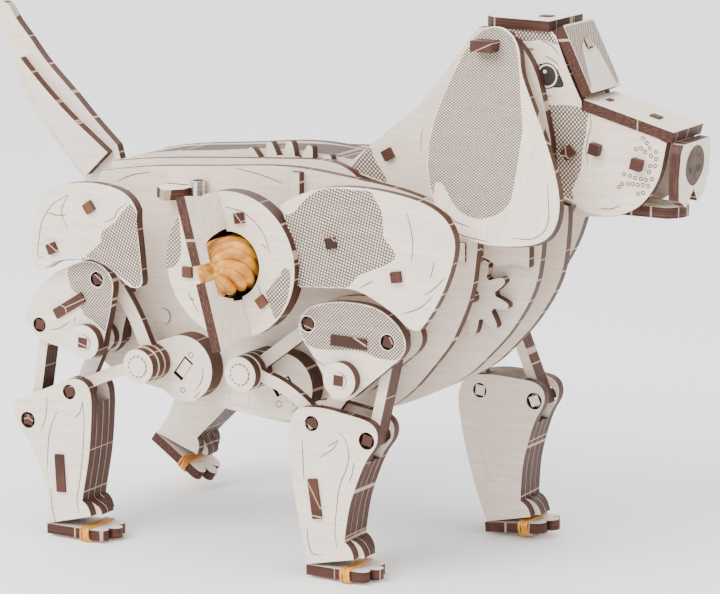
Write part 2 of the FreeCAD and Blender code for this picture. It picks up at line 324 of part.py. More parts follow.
def gear_runs(n, phase):
    """rounded teeth; phase in degrees puts a tooth on that bearing"""
    rp = MOD * n / 2.0
    ro, ri = rp + 0.92 * MOD, rp - 1.12 * MOD
    pts = []
    for i in range(n):
        c0 = math.radians(phase + 360.0 * i / n)
        half = 0.43 * math.pi * MOD / 2.0
        prof = [(ri, 1.32), (rp - 0.45 * MOD, 1.16), (rp, 1.0), (rp + 0.5 * MOD, 0.78), (ro - 0.25, 0.52), (ro, 0.18)]
        for r, w in prof:
            a = c0 - half * w / r
            pts.append([r * math.cos(a), r * math.sin(a)])
        for r, w in prof[::-1]:
            a = c0 + half * w / r
            pts.append([r * math.cos(a), r * math.sin(a)])
    pts.append(pts[0])
    return [["L", pts]]


def bearing(a, b):
    return math.degrees(math.atan2(b[1] - a[1], b[0] - a[0]))


def mesh_phase(a, na, pa, b, nb):
    """tooth phase of gear b so that it meshes with gear a at rest"""
    th = bearing(a, b)
    u = ((th - pa) * na / 360.0) % 1.0
    # a gap of b faces the tooth of a: contact fraction runs the other way
    return th + 180.0 + (u + 0.5) * 360.0 / nb


def two(a, ra, b, rb, side):
    dx, dz = b[0] - a[0], b[1] - a[1]
    d = math.hypot(dx, dz)
    s = (ra * ra - rb * rb + d * d) / (2 * d)
    h = math.sqrt(max(ra * ra - s * s, 0.0))
    return (a[0] + dx * s / d - side * h * dz / d, a[1] + dz * s / d + side * h * dx / d)


NM, NC, NI, NH = 28, 9, 8, 11
R = lambda n: MOD * n / 2.0
dm = math.hypot(WH[0] - CF[0], WH[1] - CF[1])
# the wheel axis sits exactly one centre distance from the front crankshaft
kk = (R(NM) + R(NC) + 0.05) / dm
WH = (CF[0] + (WH[0] - CF[0]) * kk, CF[1] + (WH[1] - CF[1]) * kk)
IDL = two(CB, R(NC) + R(NI) + .05, CF, R(NC) + R(NI) + .05, -1)
CH = (91.1 + X0, 105.5 + Z0)
IDH = two(WH, R(NM) + R(NH) + .05, CH, R(NC) + R(NH) + .05, 1)
ph_m = 0.0
ph_f = mesh_phase(WH, NM, ph_m, CF, NC)
ph_i = mesh_phase(CF, NC, ph_f, IDL, NI)
ph_b = mesh_phase(IDL, NI, ph_i, CB, NC)
ph_h = mesh_phase(WH, NM, ph_m, IDH, NH)
ph_c = mesh_phase(IDH, NH, ph_h, CH, NC)


def gear(label, c, n, ph, circ=(), cuts=()):
    return plate(label, gear_runs(n, ph), circ, alias="gear_ply", place=turn(c[0], c[1], 0), yexpr="-Dims.layer_gear", cuts=cuts)


hubg = plate("drive_gear_disc", gear_runs(NM, ph_m), [(0, 0, "wheel_bore")], alias="gear_ply",
             place=turn(WH[0], WH[1], 0), yexpr="-Dims.layer_gear")
node("drive_gear", [hubg])
for tag, c, n, ph in (("crank_idler_gear", IDL, NI, ph_i), ("chest_idler_gear", IDH, NH, ph_h), ("chest_gear", CH, NC, ph_c)):
    gg = gear(tag + "_disc", c, n, ph)
    ax = cyl(tag + "_axle", c[0], c[1], -17.15 if tag == "crank_idler_gear" else -26.0, -8.0, 2.5)
    node(tag, [fuse(tag + "_solid", [gg, ax])])

for tag, c, ph, fr, fl in (("front", CF, ph_f, "fr", "fl"), ("rear", CB, ph_b, "rr", "rl")):
    items = [gear(tag + "_crank_gear", c, NC, ph, [(0, 0, "shaft_bore")])]
    sh = cyl(tag + "_shaft_round", c[0], c[1], -30.9, 30.9, 4.0, "shaft_radius")
    ang = bearing(c, W(LINK[fr]["P"]))
    t1 = box(tag + "_shaft_flat", c[0] - 1.9, c[0] + 1.9, -38.6, 38.6, c[1] - 3.4, c[1] + 3.4, ang - 90 + 62)
    items.append(fuse(tag + "_shaft", [sh, t1]))
    for lg, side in ((fr, -1), (fl, 1)):
        p = W(LINK[lg]["P"])
        dx, dz = p[0] - c[0], p[1] - c[1]
        d = math.hypot(dx, dz)
        n = (-dz / d, dx / d)
        u = (dx / d, dz / d)
        r1, r2 = 12.8, 6.9
        sn = (r1 - r2) / d
        cs = math.sqrt(1 - sn * sn)
        a1 = [r1 * (u[0] * sn + n[0] * cs), r1 * (u[1] * sn + n[1] * cs)]
        a2 = [r1 * (u[0] * sn - n[0] * cs), r1 * (u[1] * sn - n[1] * cs)]
        b1 = [dx + r2 * (u[0] * sn + n[0] * cs), dz + r2 * (u[1] * sn + n[1] * cs)]
        b2 = [dx + r2 * (u[0] * sn - n[0] * cs), dz + r2 * (u[1] * sn - n[1] * cs)]
        runs = [["A", [a1, [-r1 * u[0], -r1 * u[1]], a2]], ["L", [a2, b2]],
                ["A", [b2, [dx + r2 * u[0], dz + r2 * u[1]], b1]], ["L", [b1, a1]]]
        fa = ang - 90 + 62
        items.append(plate("%s_crank_%s" % (tag, lg), runs, [(dx, dz, "crank_pin_radius")], [sq(0, 0, 4.6, 9.0, fa)],
                           alias="crank_thick", place=turn(c[0], c[1], 0), yexpr=yx("layer_crank", side, "crank_thick")))
        y0, y1 = (-52.3, -31.2) if side < 0 else (31.2, 52.3)
        items.append(cyl("%s_crank_pin_%s" % (tag, lg), p[0], p[1], y0, y1, 3.86))
        wr = [["P", [[6.7 * math.cos(math.radians(15 * i)), 6.7 * math.sin(math.radians(15 * i))] for i in range(24)]]]
        o = cyl("%s_washer_disc_%s" % (tag, lg), p[0], p[1], *((-52.0, -48.1) if side < 0 else (48.1, 52.0)), 6.7, "washer_radius")
        h = cyl("%s_washer_bore_%s" % (tag, lg), p[0], p[1], *((-53.0, -47.0) if side < 0 else (47.0, 53.0)), 3.9, "crank_pin_radius")
        items.append(cut("%s_washer_%s" % (tag, lg), o, h))
    node(tag + "_crankshaft", items)

# winding wheel, blade and rubber skein
ring = cyl("wheel_ring", WH[0], WH[1], -60.0, -53.2, 27.5, "wheel_radius")
disc = cyl("wheel_back", WH[0], WH[1], -53.2, -48.4, 24.0)
tube = cyl("wheel_tube", WH[0], WH[1], -53.2, -22.0, 16.2)
bore = cyl("wheel_bore_tool", WH[0], WH[1], -61.0, -21.0, 12.6, "wheel_bore")
BL = 15.3
bs = box("blade_slot_tool", WH[0] - 2.1, WH[0] + 2.1, -61.0, -50.0, WH[1] - 24.2, WH[1] + 24.2, BL)
w1 = cut("wheel_a", fuse("wheel_stack", [ring, disc, tube]), bore)
w2 = cut("wheel_b", w1, bs)
items = [w2]
for i, a in enumerate((76.0, 193.6, -41.3)):
    a = math.radians(a)
    px, pz = WH[0] + 18.6 * math.cos(a), WH[1] + 18.6 * math.sin(a)
    items.append(box("wheel_key%d" % i, px - 2, px + 2, -61.4, -60.02, pz - 2, pz + 2, (10, 0, 40)[i]))
node("winding_wheel", items)
# wings: outline in (along, -y) then turned into the blade's plane
wings = []
for s in (1, -1):
    prof = [[3.3, 82.0], [29.0, 82.0], [27.3, 71.0], [26.4, 60.3], [24.0, 60.3], [24.0, 52.0], [13.4, 52.0], [13.4, 62.0], [12.0, 75.6], [3.3, 75.6]]
    pts = [V(-2.0, -p[1], s * p[0]) for p in prof]
    w = Part.Face(Part.makePolygon(pts + [pts[0]])).extrude(V(4.0, 0, 0))
    f = doc.addObject("Part::Feature", "blade_wing_%s" % ("top" if s > 0 else "bottom"))
    f.Shape = w
    f.Placement = FreeCAD.Placement(V(WH[0], 0, WH[1]), FreeCAD.Rotation(V(0, -1, 0), BL))
    ALL.append(f)
    wings.append(f)
node("winding_blade", wings)
prof = [(0, -75.2), (5.5, -75.2), (8.6, -73.4), (10.4, -70.0), (11.2, -64.0), (11.2, 18.0), (9.0, 21.5), (5.0, 23.5), (0, 23.5)]
sk = Part.Face(Part.makePolygon([V(p[0], p[1], 0) for p in prof] + [V(prof[0][0], prof[0][1], 0)])).revolve(V(0, 0, 0), V(0, 1, 0), 360)
f = doc.addObject("Part::Feature", "rubber_skein_solid")
f.Shape = sk
f.Placement = FreeCAD.Placement(V(WH[0], 0, WH[1]), FreeCAD.Rotation())
ALL.append(f)
node("rubber_skein", [f])

# ---------------------------------------------------------------- trunk
B_F, B_R = W(LINK["fr"]["B"]), W(LINK["rr"]["B"])
BELLY = (-1.7, 59.1, 8.4, 6.2)
BR1 = (93.2 + X0, 124.6 + Z0)
PAWL = (-27.0 + X0, 137.0 + Z0)
HIPK = [(-51.4 + X0, 132.2 + Z0, 35), (-68.5 + X0, 114.9 + Z0, 25)]
SHK = [(53.7 + X0, 128.3 + Z0, 15), (80.7 + X0, 118.4 + Z0, 10)]
RIBS = [(-60.0 + X0, 122.0 + Z0), (-38.0 + X0, 139.5 + Z0), (46.0 + X0, 63.0 + Z0), (-46.5 + X0, 68.0 + Z0)]


def rect(x, z, w, h, rot=0):
    return sq(x, z, w, h, rot)


T = shift
for side in (-1, 1):
    tag = "right" if side < 0 else "left"
    circ = [(CF[0], CF[1], "shaft_bore"), (CB[0], CB[1], "shaft_bore"), (B_F[0], B_F[1], "pivot_bore"), (B_R[0], B_R[1], "pivot_bore")]
    slots = [rect(BELLY[0] + X0, BELLY[1] + Z0, BELLY[2] + .1, BELLY[3] + .1), rect(BR1[0], BR1[1], 4.1, 7.1)]
    for h in HIPK + SHK:
        slots.append(rect(h[0], h[1], 4.1, 4.1, h[2]))
    for r_ in RIBS:
        slots.append(rect(r_[0], r_[1], 8.1, 4.1))
    cuts = []
    if side < 0:
        slots.append(rect(PAWL[0], PAWL[1], 12.6, 4.7))
        cuts = [(WH[0], WH[1], 16.28)]
        circ += [(-35.3 + X0, 87.2 + Z0, "pivot_bore")]
    node("side_panel_" + tag, [plate("side_panel_ply_" + tag, T(OUT["side_panel"], X0, Z0), circ, slots,
                                     yexpr=yx("layer_panel", side), cuts=cuts)])
fr_, nk_, hd_, st_, hc_, sc_ = [], [], [], [], [], []
HK = [(138.2 + X0, 163.6 + Z0, -12), (154.8 + X0, 159.4 + Z0, -12), (127.6 + X0, 161.5 + Z0, 45)]
NK = (55.3 + X0, 155.6 + Z0, 30)
ET = (99.4 + X0, 199.8 + Z0)
for side in (-1, 1):
    tag = "right" if side < 0 else "left"
    circ = [(CF[0], CF[1], "shaft_bore"), (CB[0], CB[1], "shaft_bore")]
    slots = [rect(r_[0], r_[1], 8.1, 4.1) for r_ in RIBS]
    cuts = [(WH[0], WH[1], 12.2)]
    if side < 0:
        cuts += [(IDL[0], IDL[1], 2.57), (IDH[0], IDH[1], 2.57), (CH[0], CH[1], 2.57)]
    fr_.append(plate("frame_ply_" + tag, T(OUT["frame_plate"], X0, Z0), circ, slots, yexpr=yx("layer_frame", side), cuts=cuts))
    nk_.append(plate("neck_ply_" + tag, T(OUT["neck_plate"], X0, Z0), [], [rect(NK[0], NK[1], 4.1, 4.1, NK[2]), rect(ET[0], ET[1], 8.7, 4.1)],
                     yexpr=yx("layer_neck", side), cuts=[(CH[0], CH[1], 15.4), (IDH[0], IDH[1], 18.2), (WH[0], WH[1], 41.2)]))
    over = [(85.0 + X0, 204.6 + Z0), (119.3 + X0, 204.6 + Z0), (119.3 + X0, 212.0 + Z0), (85.0 + X0, 212.0 + Z0)]
    above = [(131.9 + X0, 177.25 + Z0), (170.0 + X0, 167.25 + Z0), (170.0 + X0, 186.0 + Z0), (131.9 + X0, 186.0 + Z0)]
    hd_.append(plate("head_ply_" + tag, T(OUT["head_plate"], X0, Z0), [], [rect(h[0], h[1], 4.1, 4.1, h[2]) for h in HK] + [rect(ET[0], ET[1], 8.7, 4.1)], yexpr=yx("layer_frame", side), trims=[over, above]))
    st_.append(plate("step_ply_" + tag, T(OUT["step_plate"], X0, Z0), [], [rect(RIBS[1][0], RIBS[1][1], 8.1, 4.1)] + ([rect(PAWL[0], PAWL[1], 12.6, 4.7)] if side < 0 else []), yexpr=yx("layer_step", side), cuts=[(WH[0], WH[1], 17.0)]))
    hc_.append(plate("hip_cover_ply_" + tag, T(OUT["hip_cover"], X0, Z0), [], [rect(h[0], h[1], 4.1, 4.1, h[2]) for h in HIPK], yexpr=yx("layer_cover", side)))
    sc_.append(plate("shoulder_cover_ply_" + tag, T(OUT["shoulder_cover"], X0, Z0), [], [rect(h[0], h[1], 4.1, 4.1, h[2]) for h in SHK],
                     yexpr=yx("layer_cover", side), cuts=[(WH[0], WH[1], 28.4)]))
node("frame_plates", fr_)
node("neck_plates", nk_)
node("head_plates", hd_)
node("hip_covers", hc_)
node("shoulder_covers", sc_)

sp = st_
for side in (-1, 1):
    a, b_ = (-30.6, -17.2) if side < 0 else (17.2, 30.6)
    sp.append(box("belly_block%d" % side, BELLY[0] + X0 - 4.15, BELLY[0] + X0 + 4.15, a, b_, BELLY[1] + Z0 - 3.05, BELLY[1] + Z0 + 3.05))
for side in (-1, 1):
    a, b_ = (-31.8, -16.85) if side < 0 else (16.85, 31.8)
    sp.append(box("chest_block%d" % side, BR1[0] - 2, BR1[0] + 2, a, b_, BR1[1] - 3.5, BR1[1] + 3.5))
for i, r_ in enumerate(RIBS):
    sp.append(box("cross_brace%d" % i, r_[0] - 4, r_[0] + 4, -30.6, 30.6, r_[1] - 2, r_[1] + 2))
for side in (-1, 1):
    a, b_ = (-34.2, -30.65) if side < 0 else (30.65, 34.2)
    sp.append(box("rib_end%d" % side, 22.9 + X0, 26.9 + X0, a, b_, 134.6 + Z0, 148.6 + Z0))
# the deck lies between the two frame plates and follows their top edge
deck = [["S", [[-62.0, 143.6], [-52.7, 146.0], [-20.8, 149.8], [14.6, 152.6], [34.2, 151.2]]], ["L", [[34.2, 151.2], [34.2, 148.8]]],
        ["S", [[34.2, 148.8], [14.6, 150.2], [-20.8, 147.4], [-52.7, 143.6], [-62.0, 141.2]]], ["L", [[-62.0, 141.2], [-62.0, 143.6]]]]
sp.append(plate("back_deck", T(deck, X0, Z0), alias="deck_width", yexpr="Dims.deck_half"))
# two blocks between the frame plates hold the tang of the tail
for side in (-1, 1):
    a, b_ = (-8.45, -2.05) if side < 0 else (2.05, 8.45)
    sp.append(box("tail_block%d" % side, -67.5 + X0, -60.5 + X0, a, b_, 130.2 + Z0, 137.0 + Z0))
node("trunk_braces", sp)

# fixed pivots with their washers and spacers
pv = []
for i, (c, nm_) in enumerate(((B_F, "front"), (B_R, "rear"))):
    for side in (-1, 1):
        a, b_ = (-56.8, -26.6) if side < 0 else (26.6, 56.8)
        rod_ = cyl("pivot_%s_%d" % (nm_, side), c[0], c[1], a, b_, 3.0, "pivot_radius")
        w_ = cyl("pivot_washer_%s_%d" % (nm_, side), c[0], c[1], *((-56.3, -52.4) if side < 0 else (52.4, 56.3)), 6.7, "washer_radius")
        s_ = cyl("pivot_spacer_%s_%d" % (nm_, side), c[0], c[1], *((-34.9, -30.65) if side < 0 else (30.65, 34.9)), 5.2)
        pv.append(fuse("pivot_post_%s_%d" % (nm_, side), [rod_, w_, s_]))
ax = cyl("blank_axle", -35.3 + X0, 87.2 + Z0, -31.2, -22.0, 3.0, "pivot_radius")
pv.append(ax)
node("leg_pivots", pv)

# square lock keys
ks = []
for side in (-1, 1):
    for i, h in enumerate(HIPK + SHK):
        a, b_ = (-58.2, -26.0) if side < 0 else (26.0, 58.2)
        ks.append(box("cover_key%d_%d" % (i, side), h[0] - 2, h[0] + 2, a, b_, h[1] - 2, h[1] + 2, h[2]))
for i, h in enumerate(HK):
    ks.append(box("head_key%d" % i, h[0] - 2, h[0] + 2, -15.6, 15.6, h[1] - 2, h[1] + 2, h[2]))
ks.append(box("neck_key", NK[0] - 2, NK[0] + 2, -18.6, 18.6, NK[1] - 2, NK[1] + 2, NK[2]))
ks.append(box("ear_bar", ET[0] - 4.3, ET[0] + 4.3, -29.2, 29.2, ET[1] - 2, ET[1] + 2))
node("lock_keys", ks)

# ears lean outward from the top
TILT = 14.0
ears = []
for side in (-1, 1):
    e_ = plate("ear_ply_%d" % side, OUT["ear"], [], [rect(97.55, -0.45, 8.8, 5.4)], alias="ply")
    if side < 0:
        e_.Placement = FreeCAD.Placement(V(X0 + 1.85, -22.4 + 3.88, 200.6 + Z0 - 0.97), FreeCAD.Rotation(V(1, 0, 0), -TILT))
    else:
        e_.Placement = FreeCAD.Placement(V(X0 + 1.85, 22.4, 200.6 + Z0), FreeCAD.Rotation(V(1, 0, 0), TILT))
    ears.append(e_)
node("ears", ears)

# skull cap, brow, muzzle bridge, nose, jaw
cap = [["L", [[119.3 + X0, -14.0], [96.0 + X0, -12.0]]], ["A", [[96.0 + X0, -12.0], [89.0 + X0, 0], [96.0 + X0, 12.0]]],
       ["L", [[96.0 + X0, 12.0], [119.3 + X0, 14.0]]], ["L", [[119.3 + X0, 14.0], [119.3 + X0, -14.0]]]]
c_ = plate("skull_cap_ply", cap, alias="ply", role="XY_Plane")
c_.Placement = FreeCAD.Placement(V(0, 0, 204.65 + Z0), FreeCAD.Rotation())
node("skull_cap", [c_])


def slab(label, x0, z0, x1, z1, half, th):
    ln_ = math.hypot(x1 - x0, z1 - z0)
    o = box(label, 0, ln_, -half, half, 0, th)
    o.Placement = turn(x0 + X0, z0 + Z0, math.degrees(math.atan2(z1 - z0, x1 - x0))).multiply(o.Placement)
    o.setExpression("Height", "Dims.ply")
    return o


node("brow_plate", [slab("brow_slab", 120.6, 205.6, 132.3, 181.9, 12.6, 4.0)])
node("muzzle_bridge", [slab("muzzle_slab", 132.2, 177.3, 167.6, 168.0, 13.2, 4.0)])
npts = [(-11.5, 170.2), (11.5, 170.2), (13.2, 166.5), (13.4, 156.5), (10.0, 149.5), (5.2, 147.4), (1.0, 152.6), (-4.6, 146.4), (-11.6, 149.8), (-13.2, 158.0), (-13.2, 167.0)]
f_ = Part.Face(Part.makePolygon([V(0, p[0], p[1] - 170.2) for p in npts] + [V(0, npts[0][0], 0)])).extrude(V(4.0, 0, 0))
o_ = doc.addObject("Part::Feature", "nose_ply")
o_.Shape = f_
o_.Placement = FreeCAD.Placement(V(167.9 + X0, 0, 167.8 + Z0), FreeCAD.Rotation(V(0, 1, 0), 4.0))
ALL.append(o_)
node("nose_plate", [o_])
jw = [["L", [[164.0 + X0, -8.2], [140.0 + X0, -8.2], [140.0 + X0, 8.2], [164.0 + X0, 8.2]]], ["A", [[164.0 + X0, 8.2], [168.6 + X0, 0.0], [164.0 + X0, -8.2]]]]
j_ = plate("jaw_ply", jw, alias="ply", role="XY_Plane")
j_.Placement = FreeCAD.Placement(V(0, 0, 139.6 + Z0), FreeCAD.Rotation())
node("jaw", [j_])

# tail: a long core with two short cheeks
tl = [plate("tail_core_ply", T(OUT["tail_core"], X0, Z0), alias="ply", yexpr="Dims.tail_core_half")]
for side in (-1, 1):
    t_ = plate("tail_cheek_%d" % side, T(OUT["tail_side"], X0, Z0), alias="ply")
    t_.Placement = FreeCAD.Placement(V(0, -2.05 if side < 0 else 6.05, 0), FreeCAD.Rotation())
    tl.append(t_)
node("tail", tl)

# release slider with a pointed end, and the small steel clip beside it
sl = [["L", [[PAWL[0] - 6, -17.6], [PAWL[0] - 6, -38.5], [PAWL[0] + 1, -44.5], [PAWL[0] + 6, -38.5], [PAWL[0] + 6, -17.6], [PAWL[0] - 6, -17.6]]]]
s_ = plate("release_slider_ply", sl, alias="ply", role="XY_Plane")
s_.Placement = FreeCAD.Placement(V(0, 0, PAWL[1] - 2.0), FreeCAD.Rotation())
node("release_slider", [s_])
c1 = doc.addObject("Part::Cylinder", "clip_outer")
c1.Radius, c1.Height = 2.9, 8.0
c1.Placement = FreeCAD.Placement(V(-17.6 + X0, -33.8, 134.0 + Z0), FreeCAD.Rotation())
c2 = doc.addObject("Part::Cylinder", "clip_inner")
c2.Radius, c2.Height = 2.1, 10.0
c2.Placement = FreeCAD.Placement(V(-17.6 + X0, -33.8, 133.0 + Z0), FreeCAD.Rotation())
node("steel_clip", [cut("steel_clip_ring", c1, c2)])

doc.recompute()
os.makedirs("parts", exist_ok=True)
bad = [o.Label for o in doc.Objects if ("Invalid" in o.State or "Error" in o.State)]
if bad:
    raise RuntimeError("bad objects: %s" % bad)
print(len(NODES), "nodes")
xmin = ymin = zmin = 1e9
xmax = ymax = zmax = -1e9
for name, o in NODES.items():
    s = o.Shape
    if s.isNull() or not s.isValid():
        raise RuntimeError("bad shape " + name)
    bb = s.BoundBox
    xmin, xmax = min(xmin, bb.XMin), max(xmax, bb.XMax)
    ymin, ymax = min(ymin, bb.YMin), max(ymax, bb.YMax)
    zmin, zmax = min(zmin, bb.ZMin), max(zmax, bb.ZMax)
    s.exportStep("parts/%s.step" % name)
print("box", round(xmin, 3), round(xmax, 3), round(ymin, 3), round(ymax, 3), round(zmin, 3), round(zmax, 3))
print("axes", [round(v, 4) for v in WH + CF + CB + IDL + IDH + CH + B_F + B_R])
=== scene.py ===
import bpy, bmesh, math, random
from mathutils import Vector, Matrix
from mathutils.geometry import tessellate_polygon


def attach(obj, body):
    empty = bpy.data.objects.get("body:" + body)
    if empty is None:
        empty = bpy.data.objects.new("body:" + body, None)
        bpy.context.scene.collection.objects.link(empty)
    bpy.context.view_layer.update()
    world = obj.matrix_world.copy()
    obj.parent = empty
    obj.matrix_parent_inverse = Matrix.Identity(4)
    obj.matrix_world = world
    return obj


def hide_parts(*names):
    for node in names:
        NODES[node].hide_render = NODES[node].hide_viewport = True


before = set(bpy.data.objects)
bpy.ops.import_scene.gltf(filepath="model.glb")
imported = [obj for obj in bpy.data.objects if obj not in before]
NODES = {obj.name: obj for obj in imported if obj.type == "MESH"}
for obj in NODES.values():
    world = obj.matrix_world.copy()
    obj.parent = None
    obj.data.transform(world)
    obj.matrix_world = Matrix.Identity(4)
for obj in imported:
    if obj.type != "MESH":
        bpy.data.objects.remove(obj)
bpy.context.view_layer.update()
random.seed(7)

